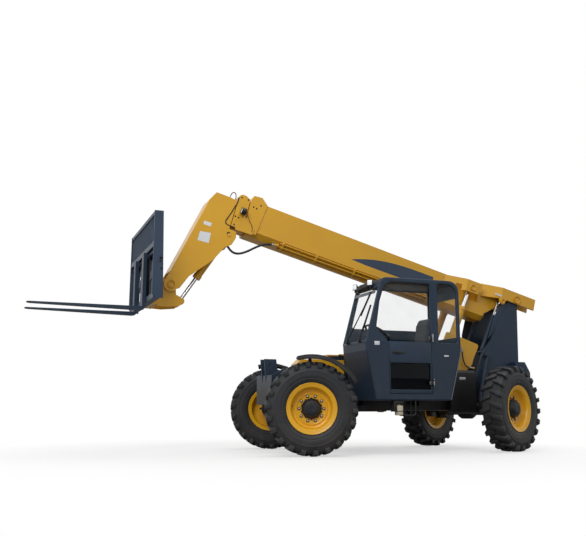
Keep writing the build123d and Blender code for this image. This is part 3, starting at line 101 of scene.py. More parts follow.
# ---------------------------------------------------------------- shader helpers
class NodeSheet:
    """Adds and links the nodes of one material or node group."""

    def __init__(self, tree: bpy.types.NodeTree) -> None:
        """Keep the tree to work on."""
        self.tree = tree

    def add(self, kind: str, inputs: dict[Any, Any] | None = None, **settings: Any) -> bpy.types.Node:
        """Add a node.

        Args:
            kind: Blender's node type name.
            inputs: Socket name or index to a value, or to the socket that feeds it.
            settings: Properties of the node.

        Returns:
            The new node.
        """
        node = self.tree.nodes.new(kind)
        for name, value in settings.items():
            setattr(node, name, value)
        for key, value in (inputs or {}).items():
            if isinstance(value, bpy.types.NodeSocket):
                self.tree.links.new(value, node.inputs[key])
            else:
                node.inputs[key].default_value = value
        return node

    def maths(self, operation: str, *values: Any, clamp: bool = False) -> bpy.types.NodeSocket:
        """Add a Math node on numbers or sockets and return its output."""
        inputs = dict(enumerate(values))
        return self.add("ShaderNodeMath", inputs, operation=operation, use_clamp=clamp).outputs[0]

    def blend(self, factor: Any, low: Any, high: Any, mode: str = "MIX") -> bpy.types.NodeSocket:
        """Mix two colours by a factor and return the colour."""
        node = self.add("ShaderNodeMix", data_type="RGBA", blend_type=mode)
        for name, value in (("Factor_Float", factor), ("A_Color", low), ("B_Color", high)):
            socket = next(s for s in node.inputs if s.identifier == name)
            if isinstance(value, bpy.types.NodeSocket):
                self.tree.links.new(value, socket)
            else:
                socket.default_value = value
        return next(s for s in node.outputs if s.identifier == "Result_Color")

    def ramp(self, source: Any, low: float, high: float) -> bpy.types.NodeSocket:
        """Stretch a value so that low becomes 0 and high becomes 1, clamped."""
        inputs = {"Value": source, "From Min": low, "From Max": high}
        return self.add("ShaderNodeMapRange", inputs, clamp=True).outputs["Result"]

    def here(self) -> bpy.types.NodeSocket:
        """Return the object coordinates."""
        return self.add("ShaderNodeTexCoord").outputs["Object"]

    def height(self) -> bpy.types.NodeSocket:
        """Return the height above the ground."""
        return self.add("ShaderNodeSeparateXYZ", {0: self.here()}).outputs["Z"]

    def noise(self, scale: float, detail: float) -> bpy.types.NodeSocket:
        """Return noise on the object coordinates."""
        return self.add("ShaderNodeTexNoise", {"Vector": self.here(), "Scale": scale, "Detail": detail}).outputs[0]

    def relief(self, strength: float, distance: float, height: Any, **on: Any) -> bpy.types.NodeSocket:
        """Return the normal that a height raises, on the Normal given if there is one."""
        inputs = {"Strength": strength, "Distance": distance, "Height": height, **on}
        return self.add("ShaderNodeBump", inputs).outputs[0]

    def effect(self, name: str, **inputs: Any) -> bpy.types.Node:
        """Place a shared effect with this material's own values."""
        return self.add("ShaderNodeGroup", inputs, node_tree=EFFECTS.get(name))

    def dress(self, shader: bpy.types.Node, feeds: dict[str, Any], plain: dict[str, Any] | None = None) -> None:
        """Feed a node's changing sockets and set its plain ones.

        Args:
            shader: The node.
            feeds: Socket name to the socket that feeds it.
            plain: Socket name to a value that is the same all over.
        """
        for name, source in feeds.items():
            self.tree.links.new(source, shader.inputs[name])
        for name, value in (plain or {}).items():
            shader.inputs[name].default_value = value


def new_group(name: str, takes: dict[str, tuple[str, Any]], gives: dict[str, str]) -> tuple:
    """Start a shader node group.

    Args:
        name: Name of the group.
        takes: Input name to socket type and default.
        gives: Output name to socket type.

    Returns:
        The group, its node sheet, its input node and its output node.
    """
    group = bpy.data.node_groups.new(name, "ShaderNodeTree")
    for key, (kind, default) in takes.items():
        socket = group.interface.new_socket(key, in_out="INPUT", socket_type="NodeSocket" + kind)
        socket.default_value = default
    for key, kind in gives.items():
        group.interface.new_socket(key, in_out="OUTPUT", socket_type="NodeSocket" + kind)
    sheet = NodeSheet(group)
    return group, sheet, sheet.add("NodeGroupInput"), sheet.add("NodeGroupOutput")


@dataclass
class SharedEffects:
    """Node groups that more than one finish uses."""

    built: dict[str, bpy.types.NodeTree] = field(default_factory=dict)

    def get(self, name: str) -> bpy.types.NodeTree:
        """Return a group by name, building it the first time."""
        if name not in self.built:
            self.built[name] = getattr(self, "_" + name)()
        return self.built[name]

    def _worn_and_highlit_edges(self) -> bpy.types.NodeTree:
        """Rounded edges: a softened normal, and a mask that is 1 along them."""
        takes = {"Radius": ("Float", 0.004)}
        group, sheet, source, sink = new_group("worn_and_highlit_edges", takes, {"Mask": "Float", "Normal": "Vector"})
        soft = sheet.add("ShaderNodeBevel", {"Radius": source.outputs["Radius"]}, samples=4)
        flat = sheet.add("ShaderNodeNewGeometry").outputs["True Normal"]
        agree = sheet.add("ShaderNodeVectorMath", {0: soft.outputs[0], 1: flat}, operation="DOT_PRODUCT")
        mask = sheet.ramp(agree.outputs["Value"], 0.995, 0.86)
        sheet.dress(sink, {"Mask": mask, "Normal": soft.outputs[0]})
        return group

    def _speckle(self) -> bpy.types.NodeTree:
        """Two sizes of noise on object coordinates: broad patches and fine grain."""
        takes = {"Broad": ("Float", 1.5), "Fine": ("Float", 60.0)}
        group, sheet, source, sink = new_group("speckle", takes, {"Patches": "Float", "Grain": "Float"})
        place = sheet.here()
        for size, name, detail in (("Broad", "Patches", 5.0), ("Fine", "Grain", 3.0)):
            inputs = {"Vector": place, "Scale": source.outputs[size], "Detail": detail, "Roughness": 0.6}
            noise = sheet.add("ShaderNodeTexNoise", inputs)
            sheet.dress(sink, {name: sheet.ramp(noise.outputs[0], 0.3, 0.7)})
        return group

    def _road_dust(self) -> bpy.types.NodeTree:
        """Dust that thickens towards the ground and gathers in patches."""
        takes = {
            "Colour": ("Color", (0.5, 0.5, 0.5, 1)), "Dust": ("Color", tint(138, 122, 100)),
            "Amount": ("Float", 0.4), "Top": ("Float", 1.4),
        }
        gives = {"Colour": "Color", "Mask": "Float"}
        group, sheet, source, sink = new_group("road_dust", takes, gives)
        low = sheet.maths("SUBTRACT", 1.0, sheet.maths("DIVIDE", sheet.height(), source.outputs["Top"]), clamp=True)
        patchy = sheet.ramp(sheet.noise(7.0, 6.0), 0.35, 0.75)
        mask = sheet.maths("MULTIPLY", sheet.maths("MULTIPLY", low, patchy), source.outputs["Amount"], clamp=True)
        colour = sheet.blend(mask, source.outputs["Colour"], source.outputs["Dust"])
        sheet.dress(sink, {"Colour": colour, "Mask": mask})
        return group


EFFECTS = SharedEffects()


def start_material(name: str) -> tuple[bpy.types.Material, NodeSheet, bpy.types.Node]:
    """Make a material and return it with its node sheet and its Principled shader."""
    material = bpy.data.materials.new(name)
    material.use_nodes = True
    sheet = NodeSheet(material.node_tree)
    return material, sheet, material.node_tree.nodes["Principled BSDF"]


# ---------------------------------------------------------------- finishes
@dataclass(frozen=True)
class Paint:
    """Sprayed paint on steel, with rounded, slightly worn edges painted lighter as a highlight, road dust, and painted
    shade low down where asked.
    """

    name: str
    colour: Colour
    shade: Colour
    # Colour of the edges, lighter than the paint: partly wear, partly a painted highlight.
    edge: Colour
    sheen: Sheen = Sheen.GLOSS
    dust: float = 0.25
    edge_radius: float = 0.005
    # Height in metres below which the paint darkens to near-black further down: painted shade under the machine, 0 for
    # none.
    low_shade_top: float = 0.0

    def material(self) -> bpy.types.Material:
        """Build the paint's material."""
        material, sheet, shader = start_material(self.name)
        glossy = self.sheen is Sheen.GLOSS
        speckle = sheet.effect("speckle", Fine=140.0)
        body = sheet.blend(speckle.outputs["Patches"], self.shade, self.colour)
        edges = sheet.effect("worn_and_highlit_edges", Radius=self.edge_radius)
        # Edges turn towards the lighter edge colour: partly wear, partly a painted highlight along them.
        edge_wear_and_highlight = sheet.maths("MULTIPLY", edges.outputs["Mask"], sheet.ramp(speckle.outputs["Grain"], 0.2, 0.9))
        edge_wear_and_highlight = sheet.maths("MULTIPLY", edge_wear_and_highlight, 0.55)
        edged = sheet.blend(edge_wear_and_highlight, body, self.edge)
        # Painted shade: from this height down over 0.22 m the paint fades to near-black, for the shade under the
        # machine.
        if self.low_shade_top:
            edged = sheet.blend(sheet.ramp(sheet.height(), self.low_shade_top, self.low_shade_top - 0.22), edged, PAINTED_LOW_SHADE)
        dust = sheet.effect("road_dust", Colour=edged, Amount=self.dust)
        rough = sheet.maths("MULTIPLY_ADD", dust.outputs["Mask"], 0.5, 0.30 if glossy else 0.42)
        rough = sheet.maths("MULTIPLY_ADD", speckle.outputs["Patches"], 0.08, rough)
        bump = sheet.relief(0.08, 0.0008, speckle.outputs["Grain"], Normal=edges.outputs["Normal"])
        sheet.dress(shader, {"Base Color": dust.outputs["Colour"], "Roughness": rough, "Normal": bump},
                    {"Coat Weight": 0.15 if glossy else 0.05, "Specular IOR Level": 0.4 if glossy else 0.3,
                     "Coat Roughness": 0.12})
        return material


@dataclass(frozen=True)
class Rubber:
    """Moulded rubber with a dusty bloom."""

    name: str
    colour: Colour
    bloom: Colour
    dust: float = 0.5
    rough: float = 0.72

    def material(self) -> bpy.types.Material:
        """Build the rubber's material."""
        material, sheet, shader = start_material(self.name)
        speckle = sheet.effect("speckle", Broad=4.0, Fine=220.0)
        faded = sheet.blend(speckle.outputs["Patches"], self.colour, self.bloom)
        dust = sheet.effect("road_dust", Colour=faded, Amount=self.dust, Top=1.1)
        bump = sheet.relief(0.25, 0.0012, speckle.outputs["Grain"])
        rough = sheet.maths("MULTIPLY_ADD", dust.outputs["Mask"], 0.2, self.rough)
        sheet.dress(shader, {"Base Color": dust.outputs["Colour"], "Roughness": rough, "Normal": bump},
                    {"Specular IOR Level": 0.4})
        return material


@dataclass(frozen=True)
class Metal:
    """Bare metal, polished or brushed, with faint streaks."""

    name: str
    colour: Colour
    rough: float = 0.2
    streaks: float = 0.1
    edge_radius: float = 0.002

    def material(self) -> bpy.types.Material:
        """Build the metal's material."""
        material, sheet, shader = start_material(self.name)
        streak = sheet.ramp(sheet.noise(85.0, 4.0), 0.3, 0.7)
        rough = sheet.maths("MULTIPLY_ADD", streak, self.streaks, self.rough)
        darker = tuple(c * 0.75 for c in self.colour[:3]) + (1.0,)
        edges = sheet.effect("worn_and_highlit_edges", Radius=self.edge_radius)
        bump = sheet.relief(0.05, 0.0005, streak, Normal=edges.outputs["Normal"])
        colour = sheet.blend(streak, darker, self.colour)
        sheet.dress(shader, {"Base Color": colour, "Roughness": rough, "Normal": bump}, {"Metallic": 1.0})
        return material


@dataclass(frozen=True)
class Plastic:
    """Moulded plastic or a plain coated sheet with a fine grain."""

    name: str
    colour: Colour
    shade: Colour
    rough: float = 0.5
    grain: float = 420.0
    depth: float = 0.0006

    def material(self) -> bpy.types.Material:
        """Build the plastic's material."""
        material, sheet, shader = start_material(self.name)
        speckle = sheet.effect("speckle", Broad=5.0, Fine=self.grain)
        colour = sheet.blend(speckle.outputs["Patches"], self.shade, self.colour)
        rough = sheet.maths("MULTIPLY_ADD", speckle.outputs["Grain"], 0.12, self.rough)
        bump = sheet.relief(0.3, self.depth, speckle.outputs["Grain"])
        sheet.dress(shader, {"Base Color": colour, "Roughness": rough, "Normal": bump})
        return material


@dataclass(frozen=True)
class Glass:
    """Thin tinted glass that lets the view through and catches the light."""

    name: str
    colour: Colour
    clear: float = 0.85
    shine: float = 0.5

    def material(self) -> bpy.types.Material:
        """Build the glass's material."""
        material, sheet, shader = start_material(self.name)
        film = sheet.noise(6.0, 5.0)
        alpha = sheet.maths("MULTIPLY_ADD", sheet.ramp(film, 0.35, 0.8), 0.02, 1 - self.clear)
        rough = sheet.maths("MULTIPLY_ADD", film, 0.06, 0.02)
        sheet.dress(shader, {"Alpha": alpha, "Roughness": rough},
                    {"Base Color": self.colour, "Specular IOR Level": self.shine})
        material.surface_render_method = "BLENDED"
        return material


@dataclass(frozen=True)
class Weave:
    """Woven seat cloth on the piece's own object coordinates."""

    name: str
    warp: Colour
    weft: Colour

    def material(self) -> bpy.types.Material:
        """Build the cloth's material."""
        material, sheet, shader = start_material(self.name)
        thread = []
        for direction in ("Y", "DIAGONAL"):
            wave = sheet.add("ShaderNodeTexWave", {"Vector": sheet.here(), "Scale": 110.0, "Distortion": 0.6},
                             wave_type="BANDS", bands_direction=direction)
            thread.append(wave.outputs["Fac"])
        weave = sheet.maths("MULTIPLY", thread[0], thread[1])
        cloth = sheet.blend(weave, self.warp, self.weft)
        faded = sheet.blend(sheet.maths("MULTIPLY", sheet.noise(9.0, 4.0), 0.25), cloth, self.weft)
        sheet.dress(shader, {"Base Color": faded, "Normal": sheet.relief(0.5, 0.0015, weave)},
                    {"Roughness": 0.9, "Sheen Weight": 0.25})
        return material


@dataclass(frozen=True)
class Lens:
    """Lamp lens: pale ribbed glass with a faint painted glow for the bright reflection off its reflector."""

    name: str
    colour: Colour

    def material(self) -> bpy.types.Material:
        """Build the lens's material."""
        material, sheet, shader = start_material(self.name)
        wave = sheet.add("ShaderNodeTexWave", {"Vector": sheet.here(), "Scale": 38.0}, bands_direction="Y")
        ribs = wave.outputs["Fac"]
        pale = sheet.blend(ribs, self.colour, (0.95, 0.96, 0.97, 1))
        # Faint white emission: a painted glow for the reflector's glint.
        sheet.dress(shader, {"Base Color": pale, "Normal": sheet.relief(0.5, 0.002, ribs)},
                    {"Roughness": 0.12, "Coat Weight": 1.0, "Emission Color": (1.0, 1.0, 1.0, 1.0),
                     "Emission Strength": 0.35})
        return material


YELLOW = tint(224, 170, 40)
SLATE = tint(35, 53, 74)
# Near-black of the painted shade low down on the frame.
PAINTED_LOW_SHADE = tint(15, 16, 19)
FINISHES = [
    # The third colour of each paint is its edge colour, lighter than the paint: partly wear, partly a painted
    # highlight.
    Paint("yellow_paint", YELLOW, tint(217, 161, 38), tint(240, 200, 104)),
    Paint("slate_paint", SLATE, tint(35, 48, 62), tint(96, 112, 128), Sheen.SATIN, 0.15),
    # The frame's paint is the slate paint with painted shade darkening it below about 0.9 m.
    Paint("frame_paint", SLATE, tint(35, 48, 62), tint(96, 112, 128), Sheen.SATIN, 0.1, low_shade_top=1.12),
    Paint("panel_paint", tint(58, 72, 90), tint(52, 66, 83), tint(110, 124, 140), Sheen.SATIN, 0.0),
    # The carriage's paint is the slate paint made lighter as painted light, for the carriage standing in the light.
    Paint("carriage_lit_slate_paint", tint(50, 66, 86), tint(44, 59, 78), tint(104, 120, 138), Sheen.SATIN, 0.0),
    Paint("navy_paint", tint(25, 30, 38), tint(20, 25, 32), tint(66, 74, 84), Sheen.SATIN, 0.15),
    Paint("black_paint", tint(22, 24, 28), tint(17, 19, 23), tint(64, 66, 70), Sheen.SATIN, 0.15),
    Paint("rim_paint", tint(242, 182, 26), tint(234, 170, 24), tint(252, 214, 112), Sheen.GLOSS, 0.1, 0.003),
    # Brown that is yellow paint in painted shade, for the gearbox under the machine.
    Paint("shadowed_yellow_paint", tint(98, 62, 38), tint(78, 49, 32), tint(130, 92, 60), Sheen.SATIN, 0.2),
    Paint("grey_plate", tint(112, 120, 128), tint(98, 106, 115), tint(160, 164, 168), Sheen.SATIN, 0.1),
    Paint("white_plate", tint(232, 236, 238), tint(222, 227, 231), tint(244, 244, 244), Sheen.GLOSS, 0.05),
    Rubber("tyre_rubber", tint(28, 30, 34), tint(40, 42, 46), 0.16, 0.58),
    # Near-black used as painted shadow in the gaps and holes of the boom's head.
    Rubber("gap_shadow_black", tint(9, 10, 12), tint(14, 15, 17), 0.0, 0.6),
    Rubber("hose_rubber", tint(26, 27, 29), tint(36, 37, 39), 0.1, 0.45),
    Metal("rod_chrome", (0.83, 0.84, 0.87, 1.0), 0.10, 0.06),
    Metal("bare_steel", (0.42, 0.42, 0.44, 1.0), 0.38, 0.2),
    Metal("nut_steel", (0.55, 0.45, 0.40, 1.0), 0.35, 0.15, 0.001),
    Plastic("trim_plastic", tint(46, 50, 55), tint(38, 42, 47)),
    Plastic("black_plastic", tint(15, 16, 18), tint(11, 12, 14), 0.45),
    Plastic("bottle_plastic", tint(222, 214, 190), tint(206, 196, 168), 0.4, 90.0),
    Glass("cab_glass", (0.30, 0.36, 0.38, 1.0), 0.965),
    Weave("seat_cloth", tint(52, 56, 60), tint(72, 77, 82)),
    Lens("lamp_lens", tint(196, 205, 210)),
    Glass("smoked_glass", (0.004, 0.005, 0.007, 1.0), 0.10, 0.1),
]


@dataclass
class PaintShop:
    """Holds the finished materials and puts them on CAD nodes and pieces."""

    cans: dict[str, bpy.types.Material] = field(default_factory=dict)

    def mix(self) -> None:
        """Build every finish once."""
        for finish in FINISHES:
            self.cans[finish.name] = finish.material()

    def coat(self, piece: bpy.types.Object, name: str) -> None:
        """Give a piece its material."""
        piece.data.materials.clear()
        piece.data.materials.append(self.cans[name])

    def coat_node(self, node: bpy.types.Object, name: str) -> None:
        """Put one finish on a CAD node by its material slots."""
        for slot in node.material_slots:
            slot.material = self.cans[name]


SHOP = PaintShop()

# CAD node name, or how it starts, to its finish
NODE_FINISHES = [
    ("tyre_", "tyre_rubber"), ("rim_", "rim_paint"), ("hub_", "navy_paint"), ("knuckle_", "black_paint"),
    ("fender_", "black_plastic"), ("axles", "black_paint"), ("axle_lock_cylinder", "slate_paint"),
    ("boom_pivot_pin", "yellow_paint"), ("boom_lamp", "black_plastic"),
    ("boom_", "yellow_paint"), ("gearbox", "shadowed_yellow_paint"), ("drive_shafts", "bare_steel"),
    ("head_hose", "hose_rubber"), ("lamp_cable", "hose_rubber"), ("lift_hose", "hose_rubber"),
    ("cab_glass", "cab_glass"), ("door_glass", "cab_glass"), ("cab_console", "trim_plastic"),
    ("cab_step", "black_paint"), ("cab_", "slate_paint"), ("carriage", "carriage_lit_slate_paint"),
    ("coupler", "yellow_paint"), ("engine_hood", "yellow_paint"), ("engine_pod", "frame_paint"),
    ("engine", "bare_steel"), ("fork_tines", "slate_paint"), ("fuel_tank", "black_plastic"),
    ("levelling_barrels", "slate_paint"), ("levelling_supports", "slate_paint"),
    ("lift_barrels", "yellow_paint"), ("lift_supports", "yellow_paint"),
    ("levelling_rods", "rod_chrome"), ("lift_rods", "rod_chrome"), ("tilt_rod", "rod_chrome"),
    ("tilt_barrel", "yellow_paint"), ("tilt_hose", "hose_rubber"), ("main_frame", "frame_paint"),
    ("seat_cushions", "seat_cloth"), ("steering_wheel", "black_plastic"), ("valve_cover", "yellow_paint"),
    ("washer_bottle", "bottle_plastic"), ("work_lamps", "black_plastic"),
]


# ---------------------------------------------------------------- mesh helpers
def bevel(mesh: bmesh.types.BMesh, edges: Iterable[bmesh.types.BMEdge], width: float, segments: int = 2) -> None:
    """Round some edges of a bmesh."""
    bmesh.ops.bevel(mesh, geom=list(edges), offset=width, segments=segments, profile=0.5, affect="EDGES",
                    material=-1, clamp_overlap=True)


def sharp_edges(mesh: bmesh.types.BMesh, degrees: float = 30.0) -> list[bmesh.types.BMEdge]:
    """Return the edges whose faces meet at more than some angle."""
    limit = math.radians(degrees)
    return [e for e in mesh.edges if len(e.link_faces) == 2 and e.calc_face_angle() > limit]


def outwards(mesh: bmesh.types.BMesh) -> bmesh.types.BMesh:
    """Point a bmesh's faces outwards and return it."""
    bmesh.ops.recalc_face_normals(mesh, faces=mesh.faces)
    return mesh


def thicken(mesh: bmesh.types.BMesh, thickness: float) -> None:
    """Pull a flat bmesh up along +Z into a solid."""
    grown = bmesh.ops.extrude_face_region(mesh, geom=mesh.faces[:])
    top = [v for v in grown["geom"] if isinstance(v, bmesh.types.BMVert)]
    bmesh.ops.translate(mesh, vec=(0, 0, thickness), verts=top)
    outwards(mesh)


def new_object(name: str, data: bpy.types.ID) -> bpy.types.Object:
    """Make an object of a mesh, curve, lamp or camera and link it."""
    holder = bpy.data.objects.new(name, data)
    bpy.context.scene.collection.objects.link(holder)
    return holder


def mesh_object(name: str, mesh: bmesh.types.BMesh) -> bpy.types.Object:
    """Turn a bmesh into a linked mesh object and free it."""
    data = bpy.data.meshes.new(name)
    mesh.to_mesh(data)
    mesh.free()
    return new_object(name, data)


def add_box(mesh: bmesh.types.BMesh, low: Sequence[float], high: Sequence[float], round_by: float = 0.0,
            place: Matrix | None = None) -> list[bmesh.types.BMVert]:
    """Add a block between two corners, with rounded edges.

    Args:
        mesh: The bmesh to add to.
        low: Lowest corner.
        high: Highest corner.
        round_by: Width of the rounding, or 0.
        place: Where the block's own axes lie.

    Returns:
        The block's vertices.
    """
    size = [high[i] - low[i] for i in range(3)]
    middle = [(high[i] + low[i]) / 2 for i in range(3)]
    part = bmesh.new()
    bmesh.ops.create_cube(part, size=1.0, matrix=Matrix.Translation(middle) @ Matrix.Diagonal((*size, 1)))
    if round_by:
        bevel(part, part.edges, round_by)
    return join_in(mesh, part, place)


def add_rod(mesh: bmesh.types.BMesh, start: Sequence[float], end: Sequence[float], radius: float,
            segments: int = 24, round_by: float = 0.0, tip: float | None = None,
            place: Matrix | None = None) -> list[bmesh.types.BMVert]:
    """Add a round bar between two points.

    Args:
        mesh: The bmesh to add to.
        start: Middle of the first end.
        end: Middle of the other end.
        radius: Radius at the start.
        segments: Sides of the bar.
        round_by: Width of the rounding at both rims, or 0.
        tip: Radius at the end, if it differs.
        place: Where the bar's own axes lie.

    Returns:
        The bar's vertices.
    """
    first, last = Vector(start), Vector(end)
    line = last - first
    turn = line.to_track_quat("Z", "Y").to_matrix().to_4x4()
    matrix = Matrix.Translation((first + last) / 2) @ turn
    part = bmesh.new()
    bmesh.ops.create_cone(part, cap_ends=True, segments=segments, radius1=radius,
                          radius2=radius if tip is None else tip, depth=line.length, matrix=matrix)
    if round_by:
        rims = [e for e in part.edges if len(e.link_faces) == 2 and max(len(f.verts) for f in e.link_faces) > 4]
        bevel(part, rims, round_by)
    return join_in(mesh, part, place)


def join_in(mesh: bmesh.types.BMesh, part: bmesh.types.BMesh, place: Matrix | None = None) -> list[bmesh.types.BMVert]:
    """Copy one bmesh into another, move it to its place and free it.

    Args:
        mesh: The bmesh that receives the part.
        part: The bmesh that is copied and then freed.
        place: Where the part's own axes lie.

    Returns:
        The new vertices.
    """
    if place is not None:
        bmesh.ops.transform(part, matrix=place, verts=part.verts)
        if place.to_3x3().determinant() < 0:
            bmesh.ops.reverse_faces(part, faces=part.faces)
    data = bpy.data.meshes.new("part")
    part.to_mesh(data)
    part.free()
    before = len(mesh.verts)
    mesh.from_mesh(data)
    bpy.data.meshes.remove(data)
    mesh.verts.ensure_lookup_table()
    return list(mesh.verts)[before:]


def lathe(profile: Sequence[tuple[float, float]], steps: int, closed: bool = False) -> bmesh.types.BMesh:
    """Turn a profile about the Y axis.

    Args:
        profile: Points as radius and place along Y.
        steps: Steps in the whole turn.
        closed: Whether the last point joins the first.

    Returns:
        A new bmesh with its faces pointing outwards.
    """
    part = bmesh.new()
    verts = [part.verts.new((r, y, 0)) for r, y in profile]
    edges = [part.edges.new(pair) for pair in zip(verts, verts[1:])]
    if closed:
        edges.append(part.edges.new((verts[-1], verts[0])))
    bmesh.ops.spin(part, geom=verts + edges, cent=(0, 0, 0), axis=(0, 1, 0), dvec=(0, 0, 0),
                   angle=FULL_TURN, steps=steps, use_merge=True)
    bmesh.ops.remove_doubles(part, verts=part.verts, dist=0.00001)
    return outwards(part)


def plate(outline: Sequence[Sequence[float]], thickness: float, round_by: float = 0.0) -> bmesh.types.BMesh:
    """Make a flat plate.

    Args:
        outline: Corners in the plate's own X and Y.
        thickness: Its thickness, towards +Z.
        round_by: Width of the rounding of every edge, or 0.

    Returns:
        A new bmesh.
    """
    part = bmesh.new()
    part.faces.new([part.verts.new((x, y, 0)) for x, y in outline])
    thicken(part, thickness)
    if round_by:
        bevel(part, sharp_edges(part), round_by)
    return part


def rounded(corners: Sequence[Sequence[float]], radius: float, steps: int = 5) -> list[tuple[float, float]]:
    """Round the corners of a flat outline with arcs.

    Args:
        corners: The outline's corners in order.
        radius: Radius of each corner, or less where its sides are short.
        steps: Points on each arc.

    Returns:
        The rounded outline.
    """
    points: list[tuple[float, float]] = []
    count = len(corners)
    for index in range(count):
        here = Vector(corners[index])
        before, after = Vector(corners[index - 1]), Vector(corners[(index + 1) % count])
        into, out = (before - here), (after - here)
        half = into.angle(out) / 2
        back = min(radius / math.tan(half), 0.45 * into.length, 0.45 * out.length)
        first, last = here + into.normalized() * back, here + out.normalized() * back
        for step in range(steps + 1):
            t = step / steps
            bent = first * (1 - t) ** 2 + here * (2 * t * (1 - t)) + last * t ** 2
            points.append((bent.x, bent.y))
    return points


def to_piece(name: str, mesh: bmesh.types.BMesh, body: str, finish: str,
             replaces: Sequence[str] = ()) -> None:
    """Turn a bmesh into a finished piece that rides on a body.

    Args:
        name: Name of the piece.
        mesh: The bmesh, which is freed.
        body: The CAD body that carries it.
        finish: Its finish.
        replaces: CAD nodes that it stands for.
    """
    limit = math.radians(SMOOTH_UNDER)
    for face in mesh.faces:
        face.smooth = True
    for edge in mesh.edges:
        edge.smooth = len(edge.link_faces) == 2 and edge.calc_face_angle() < limit
    piece = mesh_object(name, mesh)
    SHOP.coat(piece, finish)
    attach(piece, body)
    if replaces:
        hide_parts(*replaces)
    log.info("%s rides on %s", name, body)


# ---------------------------------------------------------------- the frame
@dataclass
class Machine:
    """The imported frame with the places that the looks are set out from."""

    data: dict[str, Any]
    joints: dict[str, dict[str, Any]] = field(default_factory=dict)

    def __post_init__(self) -> None:
        """Index the joints by name and find the boom's own axes."""
        self.joints = {joint["name"]: joint for joint in self.data["record"]["behaviour"]["joints"]}
        self.pivot = Vector(self.joints["boom_lift"]["pos_m"])
        self.along = Vector(self.joints["boom_extend_middle"]["axis"]).normalized()
        self.up = Vector((-self.along.z, 0, self.along.x))

    def at(self, x: float, y: float, z: float) -> Vector:
        """Return the point x mm ahead of the front axle, y mm left and z mm up."""
        return Vector((self.joints["steer_front_left"]["pos_m"][0] + x * MM, y * MM, z * MM))

    def flat(self, outline: Sequence[Sequence[float]]) -> list[tuple[float, float]]:
        """Turn x and z in mm into a flat outline in the frame."""
        return [(self.at(x, 0, z).x, z * MM) for x, z in outline]

    def boom(self, u: float, y: float, v: float) -> Vector:
        """Return the point u along, y left of and v above the boom's pivot line."""
        return self.pivot + self.along * u + self.up * v + Vector((0, y, 0))

    def boom_place(self, u: float, y: float, v: float) -> Matrix:
        """Return axes at a boom point: X along, Y up and Z to the left of the boom."""
        turn = Matrix((self.along, self.up, Vector((0, 1, 0)))).transposed()
        if turn.determinant() < 0:
            turn.col[2] = -turn.col[2]
        return Matrix.Translation(self.boom(u, y, v)) @ turn.to_4x4()

    def wheel_place(self, corner: str) -> Matrix:
        """Return a wheel's own axes, with +Y along its spindle towards its outer side."""
        joint = self.joints["wheel_" + corner + "_spin"]
        side = 1 if corner.endswith("left") else -1
        outward = Vector(joint["axis"]).normalized() * side
        forward = outward.cross(Vector((0, 0, 1))).normalized()
        turn = Matrix((forward, outward, forward.cross(outward))).transposed()
        return Matrix.Translation(joint["pos_m"]) @ turn.to_4x4()


